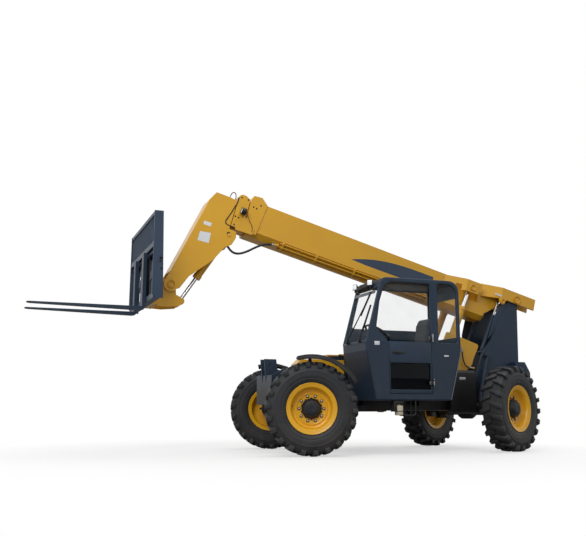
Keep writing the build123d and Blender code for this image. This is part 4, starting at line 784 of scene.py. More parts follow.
# ---------------------------------------------------------------- studio
@dataclass
class Studio:
    """Floor, backdrop, lights and camera."""

    camera_at: Point = (4.4263, 10.946, 0.645)
    yaw: float = -111.16
    pitch: float = 10.45
    lens: float = 46.8
    floor_reach: float = 60.0

    def build(self) -> None:
        """Set up the whole studio."""
        self._floor()
        self._world()
        for name, place, size, power in (
            ("key_light", (7.5, 9.0, 8.5), 7.0, 700.0),
            ("sky_light", (-1.0, 1.0, 11.0), 10.0, 470.0),
            ("rear_light", (-9.0, -7.0, 7.0), 6.0, 260.0),
        ):
            self._lamp(name, place, size, power)
        self._camera()

    def _floor(self) -> None:
        """Pale floor that runs out to plain white away from the machine."""
        mesh = bmesh.new()
        bmesh.ops.create_grid(mesh, x_segments=4, y_segments=4, size=self.floor_reach)
        floor = mesh_object("floor", mesh)
        material, sheet, shader = start_material("studio_floor")
        away = sheet.add("ShaderNodeVectorMath", {0: sheet.here()}, operation="LENGTH").outputs["Value"]
        sheet.dress(shader, {}, {"Base Color": (0.93, 0.93, 0.93, 1), "Roughness": 0.9, "Specular IOR Level": 0.1})
        white = sheet.add("ShaderNodeEmission", {"Color": (1, 1, 1, 1), "Strength": 1.0}).outputs[0]
        veil = sheet.maths("MULTIPLY_ADD", sheet.ramp(away, 2.8, 5.5), 0.45, 0.55)
        lit = sheet.add("ShaderNodeMixShader", {0: veil, 1: shader.outputs[0], 2: white})
        rays = sheet.add("ShaderNodeLightPath")
        seen = sheet.maths("MAXIMUM", rays.outputs["Is Camera Ray"], rays.outputs["Is Transmission Ray"])
        dull = sheet.add("ShaderNodeBsdfDiffuse", {"Color": (0.34, 0.34, 0.35, 1)}).outputs[0]
        final = sheet.add("ShaderNodeMixShader", {0: seen, 1: dull, 2: lit.outputs[0]})
        sheet.tree.links.new(final.outputs[0], material.node_tree.nodes["Material Output"].inputs[0])
        floor.data.materials.append(material)

    def _world(self) -> None:
        """Soft even light, seen as plain white."""
        world = bpy.data.worlds.new("studio_world")
        world.use_nodes = True
        sheet = NodeSheet(world.node_tree)
        background = world.node_tree.nodes["Background"]
        rays = sheet.add("ShaderNodeLightPath")
        seen = sheet.maths("MAXIMUM", rays.outputs["Is Camera Ray"], rays.outputs["Is Glossy Ray"])
        seen = sheet.maths("MAXIMUM", seen, rays.outputs["Is Transmission Ray"])
        strength = sheet.maths("MULTIPLY_ADD", seen, 0.62, 0.38)
        background.inputs["Color"].default_value = (1, 1, 1, 1)
        sheet.tree.links.new(strength, background.inputs["Strength"])
        bpy.context.scene.world = world

    def _lamp(self, name: str, place: Point, size: float, power: float) -> None:
        """Add one soft area lamp that faces the machine's middle."""
        lamp = bpy.data.lights.new(name, "AREA")
        lamp.shape = "DISK"
        lamp.size = size
        lamp.energy = power
        holder = new_object(name, lamp)
        holder.location = place
        holder.rotation_euler = (Vector((0, 0, 1.2)) - Vector(place)).to_track_quat("-Z", "Y").to_euler()

    def _camera(self) -> None:
        """Stand the camera low beside the front wheels, looking back and up."""
        camera = bpy.data.cameras.new("camera")
        camera.lens = self.lens
        camera.sensor_width = 36.0
        camera.clip_end = 200.0
        holder = new_object("camera", camera)
        yaw, pitch = math.radians(self.yaw), math.radians(self.pitch)
        look = Vector((math.cos(yaw) * math.cos(pitch), math.sin(yaw) * math.cos(pitch), math.sin(pitch)))
        holder.location = self.camera_at
        holder.rotation_euler = look.to_track_quat("-Z", "Y").to_euler()
        bpy.context.scene.camera = holder


# ---------------------------------------------------------------- wheels
CORNERS = ("front_left", "front_right", "rear_left", "rear_right")


@dataclass
class TyreMould:
    """Lugged tyre, its measures in metres about its own Y axis."""

    radius: float = 0.645
    half: float = 0.170
    bead_r: float = 0.325
    lug_count: int = 22
    lug_height: float = 0.036
    skew: float = 17.0

    def carcass(self) -> bmesh.types.BMesh:
        """Turn the casing: beads, bulging walls with mould rings, and tread ground."""
        base, half = self.radius - self.lug_height, self.half
        side = [
            (self.bead_r + 0.003, half - 0.046), (0.352, half - 0.034), (0.358, half - 0.026),
            (0.364, half - 0.024), (0.372, half - 0.020), (0.400, half - 0.0085), (0.404, half - 0.0075),
            (0.408, half - 0.0095), (0.414, half - 0.0095), (0.418, half - 0.0070), (0.455, half - 0.0050),
            (0.500, half - 0.0065), (0.504, half - 0.0040), (0.510, half - 0.0040), (0.514, half - 0.0068),
            (base - 0.075, half - 0.012), (base - 0.040, half - 0.019), (base - 0.012, half - 0.034),
            (base, half - 0.050), (base, half * 0.35),
        ]
        profile = side + [(base, 0.0)] + [(r, -y) for r, y in reversed(side)]
        closing = [(self.bead_r + 0.003, -half + 0.08), (self.bead_r + 0.003, half - 0.08)]
        return lathe(profile + closing, 96, closed=True)

    def lug(self, side: int) -> bmesh.types.BMesh:
        """Shape one tread bar: a tapered block that curves from the middle out over the shoulder."""
        base, half = self.radius - self.lug_height, self.half
        part = bmesh.new()
        rings = []
        stations = (
            # across, drop of the top, drop of the root, half width
            (-0.008, 0.0, 0.02, 0.024), (0.035, 0.0, 0.02, 0.027), (0.085, 0.001, 0.02, 0.031),
            (0.130, 0.004, 0.03, 0.034), (half - 0.010, 0.012, 0.05, 0.034), (half, 0.026, 0.052, 0.033),
        )
        for y, top_drop, root_drop, wide in stations:
            top, root = self.radius - top_drop, base - root_drop
            sweep = math.tan(math.radians(self.skew)) * y * 0.95 + 0.05 * (y / half) ** 2 * y
            ring = []
            for x, r in ((-wide - 0.007, root), (-wide, top), (wide, top), (wide + 0.007, root)):
                turn = (x + sweep) / self.radius
                ring.append(part.verts.new((math.sin(turn) * r, y * side, math.cos(turn) * r)))
            rings.append(ring)
        for first, last in zip(rings, rings[1:]):
            for i in range(4):
                j = (i + 1) % 4
                part.faces.new((first[i], first[j], last[j], last[i]))
        for ring in (rings[0], rings[-1]):
            part.faces.new(ring)
        bevel(outwards(part), sharp_edges(part, 40), 0.0045)
        return part

    def build(self) -> bmesh.types.BMesh:
        """Put the casing and both rows of lugs together."""
        tyre = self.carcass()
        pitch = FULL_TURN / self.lug_count
        for side in (1, -1):
            for index in range(self.lug_count):
                turn = pitch * (index + (0 if side > 0 else 0.5))
                join_in(tyre, self.lug(side), Matrix.Rotation(turn, 4, "Y"))
        return tyre


def rod_ring(mesh: bmesh.types.BMesh, count: int, circle: float, rods: Sequence[tuple], offset: float = 0.0) -> None:
    """Add the same short rods at even steps round the Y axis.

    Args:
        mesh: The bmesh to add to.
        count: How many steps there are.
        circle: Radius of the circle that the rods stand on.
        rods: Low end and high end along Y, radius, sides and rounding of each rod of a set.
        offset: Part of a step by which the first set is turned.
    """
    for index in range(count):
        turn = Matrix.Rotation(FULL_TURN * (index + offset) / count, 4, "Y")
        for low, high, radius, sides, round_by in rods:
            add_rod(mesh, (circle, low, 0), (circle, high, 0), radius, sides, round_by, place=turn)


@dataclass
class RimMould:
    """Dished steel rim with its lips, valve and nuts, about its own Y axis."""

    disc_y: float = 0.030
    wide: float = 0.125
    nut_circle: float = 0.172
    nuts: int = 10

    def build(self) -> bmesh.types.BMesh:
        """Turn the rim and the ring on its disc."""
        w, d = self.wide, self.disc_y
        profile = [
            (0.3225, -w), (0.3235, -w - 0.010), (0.345, -w - 0.016), (0.351, -w - 0.022), (0.351, -w - 0.028),
            (0.346, -w - 0.030), (0.300, -w - 0.016), (0.291, -w), (0.289, d - 0.030), (0.270, d - 0.018),
            (0.240, d - 0.0145), (0.131, d - 0.0145), (0.131, d), (0.196, d), (0.203, d + 0.009),
            (0.214, d + 0.013), (0.224, d + 0.010), (0.232, d + 0.003), (0.240, d + 0.0025),
            (0.246, d + 0.004), (0.262, d + 0.012), (0.272, d + 0.030), (0.278, w * 0.72),
            (0.283, w - 0.004), (0.292, w + 0.008), (0.300, w + 0.012), (0.306, w + 0.0125), (0.346, w + 0.0285),
            (0.3505, w + 0.027), (0.351, w + 0.021), (0.345, w + 0.016), (0.3235, w + 0.010), (0.3225, w),
        ]
        rim = lathe(profile, 96, closed=True)
        bevel(rim, sharp_edges(rim, 50), 0.0015, 1)
        return rim

    def nut_set(self) -> bmesh.types.BMesh:
        """Make the ring of studs, washers and six-sided nuts."""
        part, d = bmesh.new(), self.disc_y
        rods = ((d + 0.003, d + 0.019, 0.0140, 6, 0.0015), (d + 0.018, d + 0.0265, 0.0085, 14, 0.0012))
        rod_ring(part, self.nuts, self.nut_circle, rods)
        return part

    def washers(self) -> bmesh.types.BMesh:
        """Make the dark conical washers under the nuts."""
        part, d = bmesh.new(), self.disc_y
        rod_ring(part, self.nuts, self.nut_circle, ((d - 0.001, d + 0.006, 0.0225, 20, 0.002),))
        return part

    def valve(self) -> bmesh.types.BMesh:
        """Make the tyre valve with its cap."""
        part = bmesh.new()
        add_rod(part, (0.268, self.disc_y + 0.004, 0.03), (0.262, self.disc_y + 0.050, 0.03), 0.005, 12)
        add_rod(part, (0.2625, self.disc_y + 0.046, 0.03), (0.2605, self.disc_y + 0.066, 0.03), 0.0065, 12, 0.001)
        return part


@dataclass
class HubMould:
    """Planetary hub: drum, scalloped cover and its bolts, about its own Y axis."""

    disc_y: float = 0.030

    def build(self) -> bmesh.types.BMesh:
        """Turn the drum and the stepped cover, then add the lobes round the cover's foot."""
        d = self.disc_y
        profile = [
            (0.0605, -0.105), (0.139, -0.105), (0.1395, d - 0.0150), (0.1295, d - 0.0150), (0.1295, d + 0.012),
            (0.127, d + 0.022), (0.121, d + 0.034), (0.108, d + 0.046), (0.100, d + 0.060), (0.097, d + 0.074),
            (0.092, d + 0.081), (0.070, d + 0.086), (0.066, d + 0.094), (0.034, d + 0.0955), (0.030, d + 0.091),
            (0.0, d + 0.091),
        ]
        hub = lathe([(r * 1.10 if 0.06 < r < 0.1295 and y > d else r, y) for r, y in profile], 80)
        rod_ring(hub, 10, 0.134, ((d - 0.004, d + 0.020, 0.018, 18, 0.003),), 0.5)
        return hub

    def bolts(self) -> bmesh.types.BMesh:
        """Make the cover's ring of cap screws and its drain plug."""
        part, d = bmesh.new(), self.disc_y
        rod_ring(part, 8, 0.083, ((d + 0.080, d + 0.090, 0.007, 12, 0.001),), 0.25)
        add_rod(part, (0.0, d + 0.090, 0.045), (0.0, d + 0.0955, 0.045), 0.010, 6, 0.001)
        return part


@dataclass
class Wheels:
    """The four wheels' tyres, rims, nuts and hubs."""

    machine: Machine

    def build(self) -> None:
        """Make one set of meshes for each corner."""
        for corner in CORNERS:
            place = self.machine.wheel_place(corner)
            body = "wheel_" + corner
            rim = RimMould()
            for name, part, finish, gone in (
                ("tyre", TyreMould().build(), "tyre_rubber", ("tyre_" + corner,)),
                ("rim", rim.build(), "rim_paint", ("rim_" + corner,)),
                ("wheel_nuts", rim.nut_set(), "nut_steel", ()),
                ("wheel_washers", rim.washers(), "black_paint", ()),
                ("valve", rim.valve(), "black_plastic", ()),
                ("hub", HubMould().build(), "navy_paint", ("hub_" + corner,)),
                ("hub_bolts", HubMould().bolts(), "navy_paint", ()),
            ):
                bmesh.ops.transform(part, matrix=place, verts=part.verts)
                if place.to_3x3().determinant() < 0:
                    bmesh.ops.reverse_faces(part, faces=part.faces)
                to_piece(f"{name}_{corner}_look", part, body, finish, replaces=gone)


# ---------------------------------------------------------------- dressing helpers
def holed_plate(outline: Sequence[Sequence[float]], holes: Sequence[Sequence[Sequence[float]]], thickness: float,
                round_by: float = 0.0, segments: int = 3) -> bmesh.types.BMesh:
    """Make a flat plate with openings.

    Args:
        outline: Corners in the plate's own X and Y.
        holes: Outlines of the openings.
        thickness: Its thickness, towards +Z.
        round_by: Width of the rounding of its edges, or 0.
        segments: Steps in the rounding.

    Returns:
        A new bmesh.
    """
    part = bmesh.new()
    edges = []
    for loop in (outline, *holes):
        verts = [part.verts.new((x, y, 0)) for x, y in loop]
        edges += [part.edges.new(pair) for pair in zip(verts, verts[1:] + verts[:1])]
    bmesh.ops.triangle_fill(part, use_beauty=True, use_dissolve=False, edges=edges)
    thicken(part, thickness)
    if round_by:
        bevel(part, sharp_edges(part, 60), round_by, segments)
    return part


def band(points: Sequence[Sequence[float]], width: float) -> list[tuple[float, float]]:
    """Give the outline of a strip that lies on the left of a line of points."""
    line = [Vector(p) for p in points]
    far = []
    for index, here in enumerate(line):
        ahead = (line[min(index + 1, len(line) - 1)] - line[max(index - 1, 0)]).normalized()
        far.append(here + Vector((-ahead.y, ahead.x)) * width)
    return [tuple(p) for p in line + far[::-1]]


def scaled(points: Sequence[Sequence[float]]) -> list[tuple[float, ...]]:
    """Turn millimetres into metres."""
    return [tuple(c * MM for c in point) for point in points]


# ---------------------------------------------------------------- hoses and cables
@dataclass(frozen=True)
class Line:
    """A free hose or cable: the CAD node that it replaces, its body, radius, real length and route."""

    node: str
    body: str
    radius: float
    length: float
    on_boom: bool
    route: tuple[Point, ...]
    finish: str = "hose_rubber"
    ferrule: float = 0.045


LINES = (
    Line("tilt_hose", "boom_inner", 17.0, 0.859, True, (
        (4310, 168, -485), (4440, 168, -512), (4570, 168, -606), (4700, 164, -738), (4830, 160, -822),
        (4950, 154, -808), (5030, 148, -724))),
    Line("head_hose", "boom_inner", 7.0, 0.284, True, (
        (5166, 96, 6), (5166, 96, 112), (5072, 84, 112), (5072, 84, -8)), ferrule=0.022),
    Line("lamp_cable", "boom_middle", 4.0, 0.333, True, (
        (4899, 262, -200), (4872, 262, -200), (4828, 240, -262), (4745, 232, -345), (4723, 231, -388),
        (4724, 231, -453)), ferrule=0.012),
    Line("lift_hose", "chassis", 11.0, 0.397, False, (
        (-2850, 398, 1590), (-2850, 398, 1500), (-2868, 400, 1390), (-2920, 402, 1300),
        (-3020, 400, 1292))),
)


@dataclass
class Hoses:
    """The free hoses and the lamp's cable, each one whole curve, with crimped ends."""

    machine: Machine

    def build(self) -> None:
        """Make every line as a cord."""
        for line in LINES:
            place = self.machine.boom if line.on_boom else self.machine.at
            scale = MM if line.on_boom else 1.0
            points = [place(*(c * scale for c in point)) for point in line.route]
            self._cord(line, points)

    def _cord(self, line: Line, points: Sequence[Vector]) -> None:
        """Args:
            line: What the cord is.
            points: Its control points in the machine's frame.
        """
        radius = line.radius * MM
        curve = bpy.data.curves.new(line.node + "_look", "CURVE")
        curve.dimensions = "3D"
        curve.bevel_depth = radius
        curve.bevel_resolution = 5
        curve.use_fill_caps = True
        spline = curve.splines.new("NURBS")
        spline.points.add(len(points) - 1)
        for target, point in zip(spline.points, points):
            target.co = (*point, 1.0)
        spline.order_u = 3
        spline.use_endpoint_u = True
        spline.resolution_u = 12
        piece = new_object(line.node + "_look", curve)
        SHOP.coat(piece, line.finish)
        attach(piece, line.body)
        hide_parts(line.node)
        crimps = bmesh.new()
        for end, inward in ((points[0], points[1]), (points[-1], points[-2])):
            way = (inward - end).normalized()
            add_rod(crimps, end - way * 0.002, end + way * line.ferrule, radius * 1.28, 20, radius * 0.15)
            add_rod(crimps, end - way * 0.002, end + way * line.ferrule * 0.4, radius * 1.42, 6, radius * 0.1)
        to_piece(line.node + "_crimps", crimps, line.body, "bare_steel")
        tuple(points[0])
        log.info("%s is a cord of %.3f m", line.node, line.length)


# ---------------------------------------------------------------- driver's seat
@dataclass
class Seat:
    """Driver's seat: two swelled cloth cushions in the CAD cushions' places."""

    machine: Machine
    voxel: float = 0.012
    pressure: float = 4.0
    cap: float = 0.014
    frames: int = 12

    def build(self) -> None:
        """Make the seat and back cushions."""
        for name, side, low_y, high_y in (
            ("seat_cushion", ((-1975, 1140), (-1440, 1140), (-1435, 1218), (-1600, 1232), (-1955, 1248)), 545, 975),
            ("back_cushion",
             ((-1990, 1288), (-1836, 1290), (-1846, 1500), (-1905, 1900), (-1962, 2012), (-2046, 2012)), 555, 965),
        ):
            self._cushion(name, side, low_y, high_y)

    def _cushion(self, name: str, side: Sequence[Sequence[float]], low_y: float, high_y: float) -> None:
        """Swell one cushion.

        Args:
            name: Name of the piece.
            side: Its side outline as x and z in the machine's frame, in mm.
            low_y: Its right side, in mm.
            high_y: Its left side, in mm.
        """
        block = plate(self.machine.flat(side), (high_y - low_y) * MM)
        bmesh.ops.transform(block, matrix=Matrix.Translation((0, low_y * MM, 0)) @ LEFTWARDS, verts=block.verts)
        bevel(outwards(block), sharp_edges(block), 0.026, 4)
        piece = mesh_object(name, block)
        self._swell(piece)
        for face in piece.data.polygons:
            face.use_smooth = True
        SHOP.coat(piece, "seat_cloth")
        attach(piece, "chassis")
        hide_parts("seat_cushions")
        log.info("%s is padded", name)

    def _swell(self, piece: bpy.types.Object) -> None:
        """Remesh a cushion, blow it up as cloth, and keep every point within the cap."""
        scene = bpy.context.scene
        bpy.context.view_layer.objects.active = piece
        remesh = piece.modifiers.new("voxels", "REMESH")
        remesh.mode = "VOXEL"
        remesh.voxel_size = self.voxel
        self._apply(piece)
        rest = [v.co.copy() for v in piece.data.vertices]
        cloth = piece.modifiers.new("cloth", "CLOTH")
        cloth.settings.use_pressure = True
        cloth.settings.uniform_pressure_force = self.pressure
        cloth.settings.effector_weights.gravity = 0.0
        cloth.settings.quality = 4
        cloth.point_cache.frame_start = 1
        cloth.point_cache.frame_end = self.frames
        for frame in range(1, self.frames + 1):
            scene.frame_set(frame)
        self._apply(piece)
        for vertex, start in zip(piece.data.vertices, rest):
            move = vertex.co - start
            if move.length > self.cap:
                vertex.co = start + move.normalized() * self.cap
        scene.frame_set(1)

    def _apply(self, piece: bpy.types.Object) -> None:
        """Keep what a piece's modifiers make and take the modifiers off."""
        data = bpy.data.meshes.new_from_object(piece.evaluated_get(bpy.context.evaluated_depsgraph_get()))
        piece.modifiers.clear()
        piece.data = data


# ---------------------------------------------------------------- cab
@dataclass
class Cab:
    """Driver's cab: upper shell, panes, visor, wipers, lamps, door furniture and controls; outlines in mm."""

    machine: Machine
    side_y: float = 1150.0
    rear_x: float = -2330.0
    pane: float = 0.006
    wall: float = 40.0
    inner_y: float = 350.0
    belt_z: float = 1590.0
    door_edge: tuple = (
        (-1110, 1590), (-917, 1800), (-977, 2180), (-1055, 2420), (-1170, 2484), (-1825, 2484), (-1825, 1590))
    right_window: tuple = ((-890, 1850), (-1055, 2470), (-2250, 2470), (-2250, 1850))
    upper_window: tuple = (
        (-1150, 1634), (-952, 1806), (-1010, 2172), (-1084, 2400), (-1178, 2450), (-1794, 2450), (-1794, 1634))
    lower_window: tuple = ((-1795, 915), (-1131, 915), (-1131, 1298), (-1795, 1298))
    quarter_window: tuple = (
        (-1950, 1606), (-1950, 2495), (-2140, 2495), (-2209, 2478), (-2258, 2430), (-2278, 2364), (-2278, 1606))

    def build(self) -> None:
        """Make all the cab's pieces."""
        self._shell()
        self._fixed_panes()
        self._door_panes()
        self._screen()
        self._lamps()
        self._door_furniture()
        self._labels()
        self._controls()

    def _on_side(self, y: float) -> Matrix:
        """Return axes in which a flat outline lies on a plane of constant y and grows inwards."""
        return Matrix.Translation((0, y * MM, 0)) @ LEFTWARDS

    def _pane(self, mesh: bmesh.types.BMesh, outline: Sequence[Sequence[float]], y: float) -> None:
        """Add a pane of the cab's side."""
        join_in(mesh, plate(self.machine.flat(outline), self.pane, 0.001), self._on_side(y))

    def _shell(self) -> None:
        """Upper cab: slim side frames, roof, screen rails, rear wall and headliner."""
        shell = bmesh.new()
        crown = (rounded([(-890, 2120), (-1010, 2548), (-1500, 2550)], 130, 6)[7:14]
                 + rounded([(-1500, 2550), (self.rear_x, 2554), (self.rear_x, 2100)], 190, 8)[9:18])
        foot = self.belt_z - 12
        outer = [(-743, foot), (-743, self.belt_z), *crown, (self.rear_x, foot)]
        left = [*outer, (-1825, foot), *self.door_edge[:0:-1], self.door_edge[0], (-1110, foot)]
        for outline, hole, y in ((left, self.quarter_window, self.side_y),
                                 (outer, self.right_window, self.inner_y + self.wall)):
            opening = rounded(self.machine.flat(hole), 0.04, 4)
            side = holed_plate(self.machine.flat(outline), [opening], self.wall * MM, 0.011)
            join_in(shell, side, self._on_side(y - self.wall))
        depth = (self.side_y - self.inner_y - 2 * self.wall) * MM + 0.02
        roof = plate(self.machine.flat(band(crown, self.wall)), depth)
        join_in(shell, roof, self._on_side(self.inner_y + self.wall - 10))
        place = self._screen_place()
        add_box(shell, (0.385, -0.012, -0.04), (1.115, 0.026, 0.0), 0.004, place=place)
        add_box(shell, (0.385, 0.838, -0.04), (1.115, 0.925, 0.0), 0.004, place=place)
        at, y0, y1 = self.machine.at, self.inner_y + self.wall, self.side_y - self.wall
        for low_y, high_y, low, high in ((y0, y1, 1578, 1700), (y0, y1, 2300, 2400), (y0, y0 + 15, 1690, 2310),
                                         (y1 - 15, y1, 1690, 2310)):
            add_box(shell, at(self.rear_x, low_y, low), at(self.rear_x + self.wall, high_y, high), 0.003)
        to_piece("cab_shell", outwards(shell), "chassis", "slate_paint", replaces=("cab_frame",))
        lining = bmesh.new()
        add_box(lining, at(-2286, y0 + 2, 2488), at(-1060, y1 - 2, 2504), 0.005)
        to_piece("headliner", lining, "chassis", "black_plastic")

    def _fixed_panes(self) -> None:
        """Windscreen, rear, right and quarter panes."""
        panes = bmesh.new()
        self._pane(panes, self.quarter_window, self.side_y - 24)
        self._pane(panes, self.right_window, self.inner_y + 18)
        screen = [(0.398, 0.020), (1.102, 0.020), (1.102, 0.844), (0.398, 0.844)]
        join_in(panes, plate(screen, self.pane, 0.001), self._screen_place(-0.018))
        add_box(panes, self.machine.at(-2316, 398, 1694), self.machine.at(-2310, 1102, 2306), 0.001)
        to_piece("fixed_panes", outwards(panes), "chassis", "cab_glass", replaces=("cab_glass",))

    def _door_panes(self) -> None:
        """Door: slate lower leaf, clear upper pane and smoked lower pane."""
        lower = bmesh.new()
        outline = ((-1117, 857), (-1117, 1606), (-1818, 1606), (-1818, 857))
        leaf = holed_plate(self.machine.flat(outline), [self.machine.flat(self.lower_window)], 0.034, 0.003, 2)
        join_in(lower, leaf, self._on_side(self.side_y - 34))
        to_piece("door_lower_leaf", outwards(lower), "cab_door", "slate_paint", replaces=("cab_door",))
        for name, outline, inwards, finish in (
            ("door_upper_pane", self.upper_window, 21, "cab_glass"),
            ("door_lower_pane", self.lower_window, 24, "smoked_glass"),
        ):
            pane = bmesh.new()
            self._pane(pane, outline, self.side_y - inwards)
            to_piece(name, pane, "cab_door", finish, replaces=("door_glass",))

    def _screen_place(self, lift: float = 0.0) -> Matrix:
        """Return axes on the sloping windscreen: X to the left, Y up the glass, Z forwards."""
        low, high = self.machine.at(-743, 0, 1590), self.machine.at(-1010, 0, 2548)
        up = (high - low).normalized()
        left = Vector((0, 1, 0))
        turn = Matrix((left, up, left.cross(up))).transposed()
        return Matrix.Translation(low + left.cross(up) * lift) @ turn.to_4x4()

    def _screen(self) -> None:
        """Top bar, visor and two wipers of the windscreen."""
        place = self._screen_place()
        bar = bmesh.new()
        add_box(bar, (0.42, 0.745, 0.002), (1.08, 0.795, 0.012), 0.003, place=place)
        to_piece("windscreen_bar", bar, "chassis", "grey_plate")
        visor = bmesh.new()
        hood = [(-0.02, 0.835), (0.055, 0.850), (0.066, 0.870), (0.045, 0.900), (-0.02, 0.915)]
        shade = plate([(z, y) for z, y in hood], 0.40, 0.006)
        turn = Matrix(((0, 0, 1), (0, 1, 0), (1, 0, 0))).to_4x4()
        join_in(visor, shade, place @ Matrix.Translation((0.48, 0, 0)) @ turn)
        to_piece("screen_visor", outwards(visor), "chassis", "black_plastic")
        wipers = bmesh.new()
        for pivot, tip, blade in (
            ((0.560, 0.012), (0.905, 0.600), ((0.800, 0.42), (0.965, 0.775))),
            ((0.960, 0.012), (1.035, 0.340), ((0.985, 0.16), (1.062, 0.560))),
        ):
            add_rod(wipers, (*pivot, 0.0), (*pivot, 0.045), 0.020, 16, 0.002, place=place)
            add_rod(wipers, (*pivot, 0.036), (*tip, 0.030), 0.010, 10, tip=0.008, place=place)
            add_rod(wipers, (*blade[0], 0.022), (*blade[1], 0.022), 0.011, 10, 0.001, place=place)
            add_rod(wipers, (*blade[0], 0.010), (*blade[1], 0.010), 0.006, 8, place=place)
        to_piece("wipers", wipers, "chassis", "black_plastic")

    def _lamps(self) -> None:
        """Two square work lamps on the roof's front edge, turned a little outwards."""
        housing, lens = bmesh.new(), bmesh.new()
        for y, turned in ((420, 30), (930, 38)):
            place = Matrix.Translation(self.machine.at(-940, y, 2486)) @ Matrix.Rotation(
                math.radians(turned), 4, "Z")
            body = bmesh.new()
            for v in add_box(body, (-0.036, -0.044, -0.045), (0.022, 0.044, 0.045), 0.010):
                if v.co.x < -0.008:
                    v.co.y *= 0.66
                    v.co.z *= 0.66
            join_in(housing, body, place)
            add_box(lens, (0.016, -0.037, -0.037), (0.029, 0.037, 0.037), 0.005, place=place)
            add_box(housing, (-0.022, -0.012, -0.082), (0.010, 0.012, -0.040), 0.003, place=place)
            add_rod(housing, (-0.006, -0.018, -0.052), (-0.006, 0.018, -0.052), 0.007, 12, 0.001, place=place)
        to_piece("work_lamp_housings", housing, "chassis", "black_plastic", replaces=("work_lamps",))
        to_piece("work_lamp_lenses", lens, "chassis", "lamp_lens")

    def _door_furniture(self) -> None:
        """Hinge leaves, pins and straps, handle, lock, and the pale strip painted as a highlight along the rear edge.
        """
        at, y = self.machine.at, self.side_y
        black, steel = bmesh.new(), bmesh.new()
        for z in (1010, 1670):
            for low in (z - 52, z + 32):
                add_box(steel, at(-1850, y - 2, low + 4), at(-1828, y + 26, low + 16), 0.002)
            add_rod(steel, at(-1838, y + 18, z - 60), at(-1838, y + 18, z + 60), 0.008, 14, 0.001)
            add_box(black, at(-1836, y + 11, z - 25), at(-1752, y + 19, z + 25), 0.003)
            for dz in (-14, 14):
                add_rod(steel, at(-1772, y + 17, z + dz), at(-1772, y + 24, z + dz), 0.008, 6, 0.001)
        to_piece("hinge_leaves", steel, "chassis", "bare_steel")
        add_box(black, at(-1340, y - 1, 1426), at(-1160, y + 3, 1468), 0.002)
        add_box(black, at(-1282, y + 2, 1436), at(-1200, y + 30, 1452), 0.006)
        add_box(black, at(-1282, y + 1, 1436), at(-1266, y + 26, 1452), 0.003)
        add_rod(black, at(-1360, y - 1, 1446), at(-1360, y + 6, 1446), 0.016, 20, 0.002)
        add_rod(black, at(-1443, y - 1, 1470), at(-1443, y + 5, 1470), 0.008, 16, 0.001)
        to_piece("door_handle_and_straps", black, "cab_door", "black_plastic")
        # Pale strip painted as the highlight along the cab's rear lower edge.
        edge = bmesh.new()
        way = (at(-2129, 0, 765) - at(-2330, 0, 1482)).normalized()
        start, end = at(-2327, y - 1, 1470) + way * 0.01, at(-2131, y - 1, 772)
        add_rod(edge, start, end, 0.007, 8)
        add_rod(edge, at(-2326, y - 1, 1482), at(-2326, y - 1, 1600), 0.006, 8)
        to_piece("rear_edge_highlight_strip", edge, "chassis", "grey_plate")

    def _labels(self) -> None:
        """Blank plates on the cab's side."""
        at, y = self.machine.at, self.side_y
        mesh = bmesh.new()
        add_box(mesh, at(-962, y - 1, 1545), at(-878, y + 1.5, 1600), 0.001)
        add_box(mesh, at(-2112, y - 1, 1402), at(-2036, y + 1.5, 1424), 0.001)
        to_piece("blank_cab_plates", mesh, "chassis", "white_plate")

    def _controls(self) -> None:
        """Steering wheel, dash dials, levers and pedals."""
        at = self.machine.at
        lean = Matrix.Rotation(math.radians(-32), 4, "Y")
        place = Matrix.Translation(at(-1128, 760, 1762)) @ lean
        wheel = bmesh.new()
        ring = lathe([(0.196 + 0.016 * math.cos(a), 0.016 * math.sin(a)) for a in
                      (FULL_TURN * i / 12 for i in range(12))], 56, closed=True)
        join_in(wheel, ring, place @ Matrix.Rotation(math.radians(90), 4, "X"))
        for spoke in range(3):
            turn = place @ Matrix.Rotation(FULL_TURN * spoke / 3, 4, "Z")
            add_box(wheel, (0.02, -0.011, -0.005), (0.174, 0.011, 0.005), 0.004, place=turn)
        add_rod(wheel, (0, 0, -0.012), (0, 0, 0.012), 0.037, 24, 0.005, place=place)
        add_rod(wheel, (0.15, 0, 0.01), (0.15, 0, 0.055), 0.016, 16, 0.005, place=place)
        add_rod(wheel, at(-1118, 760, 1655), at(-1128, 760, 1755), 0.030, 20, 0.004)
        to_piece("steering_wheel_look", wheel, "chassis", "black_plastic", replaces=("steering_wheel",))
        dash, knobs = bmesh.new(), bmesh.new()
        for index, y in enumerate((640, 720, 800, 880)):
            add_rod(dash, at(-1046, y, 1541), at(-1052, y, 1546), 0.030, 24, 0.002)
            add_rod(knobs, at(-1600 + 80 * index, 450, 1329), at(-1592 + 80 * index, 452, 1420), 0.006, 10)
            add_rod(knobs, at(-1592 + 80 * index, 452, 1412), at(-1590 + 80 * index, 452, 1450), 0.015, 14, 0.005)
        for y in (620, 800, 940):
            add_box(knobs, at(-1085, y - 34, 905), at(-1072, y + 34, 990), 0.004)
            add_rod(knobs, at(-1062, y, 950), at(-1078, y, 950), 0.012, 12)
        to_piece("dials", dash, "chassis", "grey_plate")
        to_piece("levers_and_pedals", knobs, "chassis", "black_plastic")


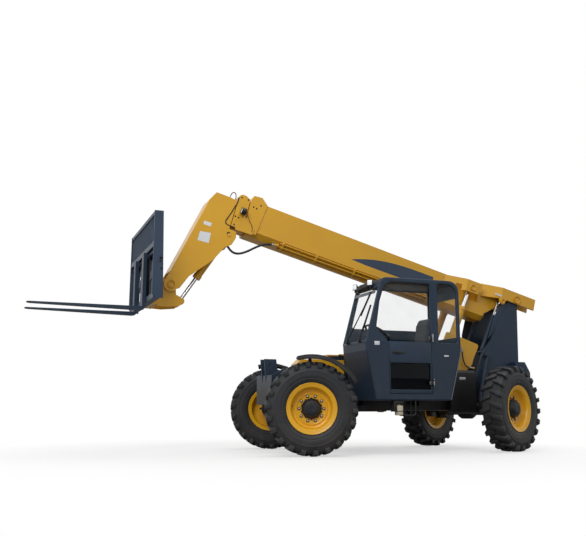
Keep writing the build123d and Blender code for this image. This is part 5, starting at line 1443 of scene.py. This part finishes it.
# ---------------------------------------------------------------- chassis and work head
@dataclass
class Extras:
    """Mudguard skirts, washer bottle, the carriage's slats and fittings, and the mast's cheeks; the slats and the
    black sheet on the mast's far side are painted shade.
    """

    machine: Machine
    guard_turns: tuple = (74.0, 150.0)
    guard_r: float = 0.736

    def build(self) -> None:
        """Make all the pieces."""
        self._guards()
        self._bottle()
        self._carriage()
        self._mast()

    def _guards(self) -> None:
        """Turned-down outer skirt and rolled edge of each front mudguard."""
        start, end = self.guard_turns
        turns = [math.radians(start + (end - start) * i / 18) for i in range(19)]
        arc = [(self.guard_r * math.cos(a), self.guard_r * math.sin(a)) for a in turns]
        for corner in ("front_left", "front_right"):
            mesh = bmesh.new()
            place = self.machine.wheel_place(corner) @ LEFTWARDS
            if (place.to_3x3() @ Vector((1, 0, 0))).x < 0:
                place = place @ Matrix.Diagonal((-1, 1, 1, 1))
            join_in(mesh, plate(band(arc, 0.062), 0.014, 0.004), place @ Matrix.Translation((0, 0, 0.176)))
            join_in(mesh, plate(band(arc, 0.016), 0.030, 0.004), place @ Matrix.Translation((0, 0, 0.164)))
            to_piece(f"mudguard_skirt_{corner}", outwards(mesh), "knuckle_" + corner, "black_plastic")

    def _bottle(self) -> None:
        """Washer bottle with its cap in a black bracket under the cab."""
        at = self.machine.at
        bottle, bracket = bmesh.new(), bmesh.new()
        add_box(bottle, at(-1334, 1030, 548), at(-1240, 1126, 690), 0.014)
        add_rod(bottle, at(-1285, 1085, 688), at(-1285, 1085, 706), 0.022, 20, 0.003)
        add_box(bracket, at(-1240, 1010, 600), at(-1188, 1118, 758), 0.006)
        add_box(bracket, at(-1336, 1000, 704), at(-1200, 1128, 758), 0.006)
        add_box(bracket, at(-1336, 1028, 600), at(-1238, 1128, 612), 0.002)
        to_piece("washer_bottle_look", bottle, "chassis", "bottle_plastic", replaces=("washer_bottle",))
        to_piece("washer_bracket", bracket, "chassis", "black_paint")

    def _carriage(self) -> None:
        """Near-black upright slats in the fork carriage's middle, painted as the shade of the parts seen through it,
        and hook bosses on its near side plate.
        """
        hinge = Vector(self.machine.joints["carriage_tilt"]["pos_m"])
        slats, fittings = bmesh.new(), bmesh.new()
        # Near-black slats: painted shade for the shaded parts behind the carriage's middle.
        for y in (-0.150, -0.050, 0.050, 0.150):
            low, high = Vector((0.292, y - 0.003, -0.245)), Vector((0.352, y + 0.003, 0.400))
            add_box(slats, hinge + low, hinge + high, 0.001)
        to_piece("carriage_slats", slats, "fork_carriage", "black_paint")
        for along, up, radius in ((-0.17, 0.236, 0.020), (-0.145, 0.190, 0.014), (-0.25, 0.092, 0.016)):
            spot = hinge + Vector((0.340 + along * 0.2, 0.944, up))
            add_rod(fittings, spot, spot + Vector((0, 0.012, 0)), radius, 20, 0.002)
            add_rod(fittings, spot, spot + Vector((0, 0.020, 0)), radius * 0.55, 6, 0.001)
        to_piece("carriage_fittings", fittings, "fork_carriage", "black_paint")

    def _mast(self) -> None:
        """Black sheet that closes the mast's far side, painted as the shade seen there, the cheeks that widen its
        plates, and a blank tank plate.
        """
        # The guard is a near-black sheet painted as the shade seen inside the mast's far plate.
        guard, cheeks, label = bmesh.new(), bmesh.new(), bmesh.new()
        outline = ((-3340, 1440), (-3340, 1900), (-3420, 2180), (-3640, 2240), (-3900, 2200), (-4080, 2060),
                   (-4080, 1440))
        edge = ((-3405, 1780), (-3521, 2101), (-3632, 2302), (-3700, 2370), (-3795, 2400), (-3795, 2330),
                (-3600, 1990))
        for mesh, corners, y, thick, round_by in (
            (guard, outline, -0.334, 0.006, 0.001), (cheeks, edge, 0.3225, 0.015, 0.002),
            (cheeks, edge, -0.3375, 0.015, 0.002),
        ):
            part = plate(self.machine.flat(corners), thick, round_by)
            join_in(mesh, part, Matrix.Translation((0, y, 0)) @ LEFTWARDS)
        to_piece("mast_inner_shade_sheet", outwards(guard), "chassis", "black_paint")
        to_piece("mast_cheeks", outwards(cheeks), "chassis", "frame_paint")
        add_box(label, self.machine.at(-2852, 459, 1096), self.machine.at(-2736, 461.5, 1137), 0.001)
        to_piece("blank_tank_plate", label, "chassis", "white_plate")


# ---------------------------------------------------------------- boom
@dataclass
class BoomTrim:
    """What is painted, bolted and welded on the boom and its head."""

    machine: Machine
    face_y: float = 0.2
    paint_y: float = 0.2002
    swoosh: tuple = (
        (3034, -279), (2910, -232), (2800, -196), (2690, -164), (2583, -140), (2430, -112), (2282, -94),
        (2120, -81), (1970, -74), (1750, -71), (1535, -70), (1500, -286), (2111, -286), (2546, -288), (2777, -289))

    def build(self) -> None:
        """Make all the boom's pieces."""
        self._painted_shapes()
        self._bolts()
        self._lamp()
        self._bosses()
        self._welds()

    def _shape(self, mesh: bmesh.types.BMesh, outline: Sequence[Sequence[float]], y: float, thick: float,
               side: int = 1) -> None:
        """Add a thin plate on the boom's side at y, in boom axes."""
        place = self.machine.boom_place(0, y * side, 0)
        join_in(mesh, plate(scaled(outline), thick * side), place)
        outwards(mesh)

    def _painted_shapes(self) -> None:
        """Dark tapered panel, blank plates, the plates between the wings and the black line painted as the shadow gap
        along the head's edge.
        """
        panel, blank, small, line, bridge = (bmesh.new() for _ in range(5))
        for side in (1, -1):
            self._shape(panel, self.swoosh, self.paint_y, 0.0012, side)
            self._shape(blank, ((5478, -687), (5311, -658), (5301, -816), (5474, -830)), self.paint_y, 0.0016, side)
            self._shape(blank, ((5466, -513), (5340, -506), (5346, -566), (5458, -566)), self.paint_y, 0.0016, side)
            self._shape(small, ((300, -36), (440, -36), (440, -8), (300, -8)), 0.3852, 0.0016, side)
            self._shape(bridge, ((700, -100), (700, 38), (757, 58), (800, 46), (800, -100)), 0.3765, 0.0078, side)
            # Near-black line painted as the shadow gap between the head's plate and the middle collar.
            track = [(5052, 20), (5052, -60), (5106, -262), (5150, -396), (5140, -432), (5110, -446), (5000, -462)]
            place = self.machine.boom_place(0, side * self.face_y, 0)
            for first, last in zip(track, track[1:]):
                start, end = ((u * MM, v * MM, 0.0005 * side) for u, v in (first, last))
                add_rod(line, start, end, 0.009, 8, place=place)
        to_piece("wing_bridges", bridge, "boom", "yellow_paint")
        to_piece("boom_side_panel", panel, "boom", "panel_paint")
        to_piece("blank_head_plates", blank, "boom_inner", "white_plate")
        to_piece("blank_wing_plates", small, "boom", "white_plate")
        to_piece("head_gap_shadow_line", line, "boom_inner", "gap_shadow_black")

    def _bolts(self) -> None:
        """Wear pad bolts on the collars of the outer and middle sections."""
        for body, y, spots in (
            ("boom", 0.214, ((4797, -41), (4745, -48), (4800, -330), (4750, -336), (4690, 20), (4700, -400))),
            ("boom_middle", self.face_y,
             ((5027, -278), (4977, -281), (4900, 40), (5010, 40), (4900, -410), (5010, -410))),
        ):
            mesh = bmesh.new()
            for side in (1, -1):
                for u, v in spots:
                    place = self.machine.boom_place(u * MM, y * side, v * MM)
                    add_rod(mesh, (0, 0, -0.001 * side), (0, 0, 0.002 * side), 0.014, 18, 0.0008, place=place)
                    add_rod(mesh, (0, 0, 0), (0, 0, 0.009 * side), 0.0095, 6, 0.001, place=place)
            to_piece(f"{body}_pad_bolts", outwards(mesh), body, "navy_paint")
        # Near-black discs painted as the shade inside the head's blind holes.
        holes = bmesh.new()
        for side in (1, -1):
            place = self.machine.boom_place(5053 * MM, self.face_y * side, -572 * MM)
            add_rod(holes, (0, 0, -0.004 * side), (0, 0, 0.0015 * side), 0.027, 24, 0.0008, place=place)
        to_piece("head_hole_shade_discs", outwards(holes), "boom_inner", "gap_shadow_black")

    def _lamp(self) -> None:
        """Round work lamp on the middle section: ribbed bowl, bezel and bright lens."""
        along = (self.machine.boom_place(4.935, 0.272, -0.185) @ Matrix.Rotation(math.radians(-90), 4, "Z")
                 @ Matrix.Scale(1.25, 4))
        profile = [(0.0, -0.032), (0.022, -0.032), (0.034, -0.024), (0.041, -0.008), (0.0435, 0.010),
                   (0.0435, 0.0335), (0.039, 0.0345), (0.038, 0.027), (0.0, 0.027)]
        bowl = lathe(profile, 40)
        for rib in range(12):
            turn = Matrix.Rotation(FULL_TURN * rib / 12, 4, "Y")
            add_box(bowl, (0.030, -0.026, -0.002), (0.0435, 0.012, 0.002), 0.001, place=turn)
        bmesh.ops.transform(bowl, matrix=along, verts=bowl.verts)
        outwards(bowl)
        add_box(bowl, (4.921, -0.199, 0.199), (4.949, -0.171, 0.224), 0.003, place=self.machine.boom_place(0, 0, 0))
        to_piece("boom_lamp_look", bowl, "boom_middle", "black_plastic", replaces=("boom_lamp",))
        lens = lathe([(0.0, 0.0335), (0.020, 0.0325), (0.037, 0.0285), (0.037, 0.024), (0.0, 0.024)], 40)
        bmesh.ops.transform(lens, matrix=along, verts=lens.verts)
        to_piece("boom_lamp_lens", outwards(lens), "boom_middle", "lamp_lens")

    def _bosses(self) -> None:
        """Yellow pin covers on the wings and head, with their keeper bolts."""
        for body, y, spots in (
            ("boom", 0.397, ((0, 0, 0.060), (270, -110, 0.034), (878, -70, 0.046))),
            ("boom_inner", 0.2155, ((5656, -1587, 0.052),)),
        ):
            mesh = bmesh.new()
            for side in (1, -1):
                for u, v, r in spots:
                    place = self.machine.boom_place(u * MM, y * side, v * MM)
                    dome = lathe([(0.0, 0.006), (r * 0.35, 0.006), (r * 0.8, 0.003), (r, -0.006), (r, -0.016)], 32)
                    join_in(mesh, dome, place @ Matrix.Rotation(math.radians(90), 4, "X")
                            @ Matrix.Scale(side, 4, (0, 1, 0)))
                    add_rod(mesh, (0, r * 0.6, 0), (0, r * 0.6, 0.009 * side), 0.007, 6, 0.001, place=place)
            to_piece(f"{body}_pin_covers", outwards(mesh), body, "yellow_paint")

    def _welds(self) -> None:
        """Weld beads along the boom's lower folds and where the wings and collar join it."""
        mesh = bmesh.new()
        for side in (1, -1):
            place = self.machine.boom_place(0, self.face_y * side, 0)
            for seam in (((1360, -408), (4640, -408)), ((4588, 52), (4588, -300)), ((4588, -300), (4650, -404))):
                start, end = ((u * MM, v * MM, 0.0) for u, v in seam)
                add_rod(mesh, start, end, 0.005, 8, place=place)
        to_piece("boom_welds", mesh, "boom", "yellow_paint")


# ---------------------------------------------------------------- the whole scene
def dress_cad(nodes: dict[str, bpy.types.Object]) -> None:
    """Put a procedural finish on every CAD node.

    Args:
        nodes: CAD node name to its object.
    """
    for name, node in nodes.items():
        finish = next((f for start, f in NODE_FINISHES if name.startswith(start)), "slate_paint")
        SHOP.coat_node(node, finish)


def main() -> None:
    """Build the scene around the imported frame."""
    logging.basicConfig(level=logging.INFO, format="%(name)s: %(message)s")
    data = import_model()
    machine = Machine(data)
    SHOP.mix()
    dress_cad(data["nodes"])
    for assembly in (Wheels, Hoses, Seat, Cab, Extras, BoomTrim):
        log.info("building %s", assembly.__name__)
        assembly(machine).build()
    Studio().build()
    bpy.context.scene.view_settings.view_transform = "Standard"


if __name__ == "__main__":
    main()
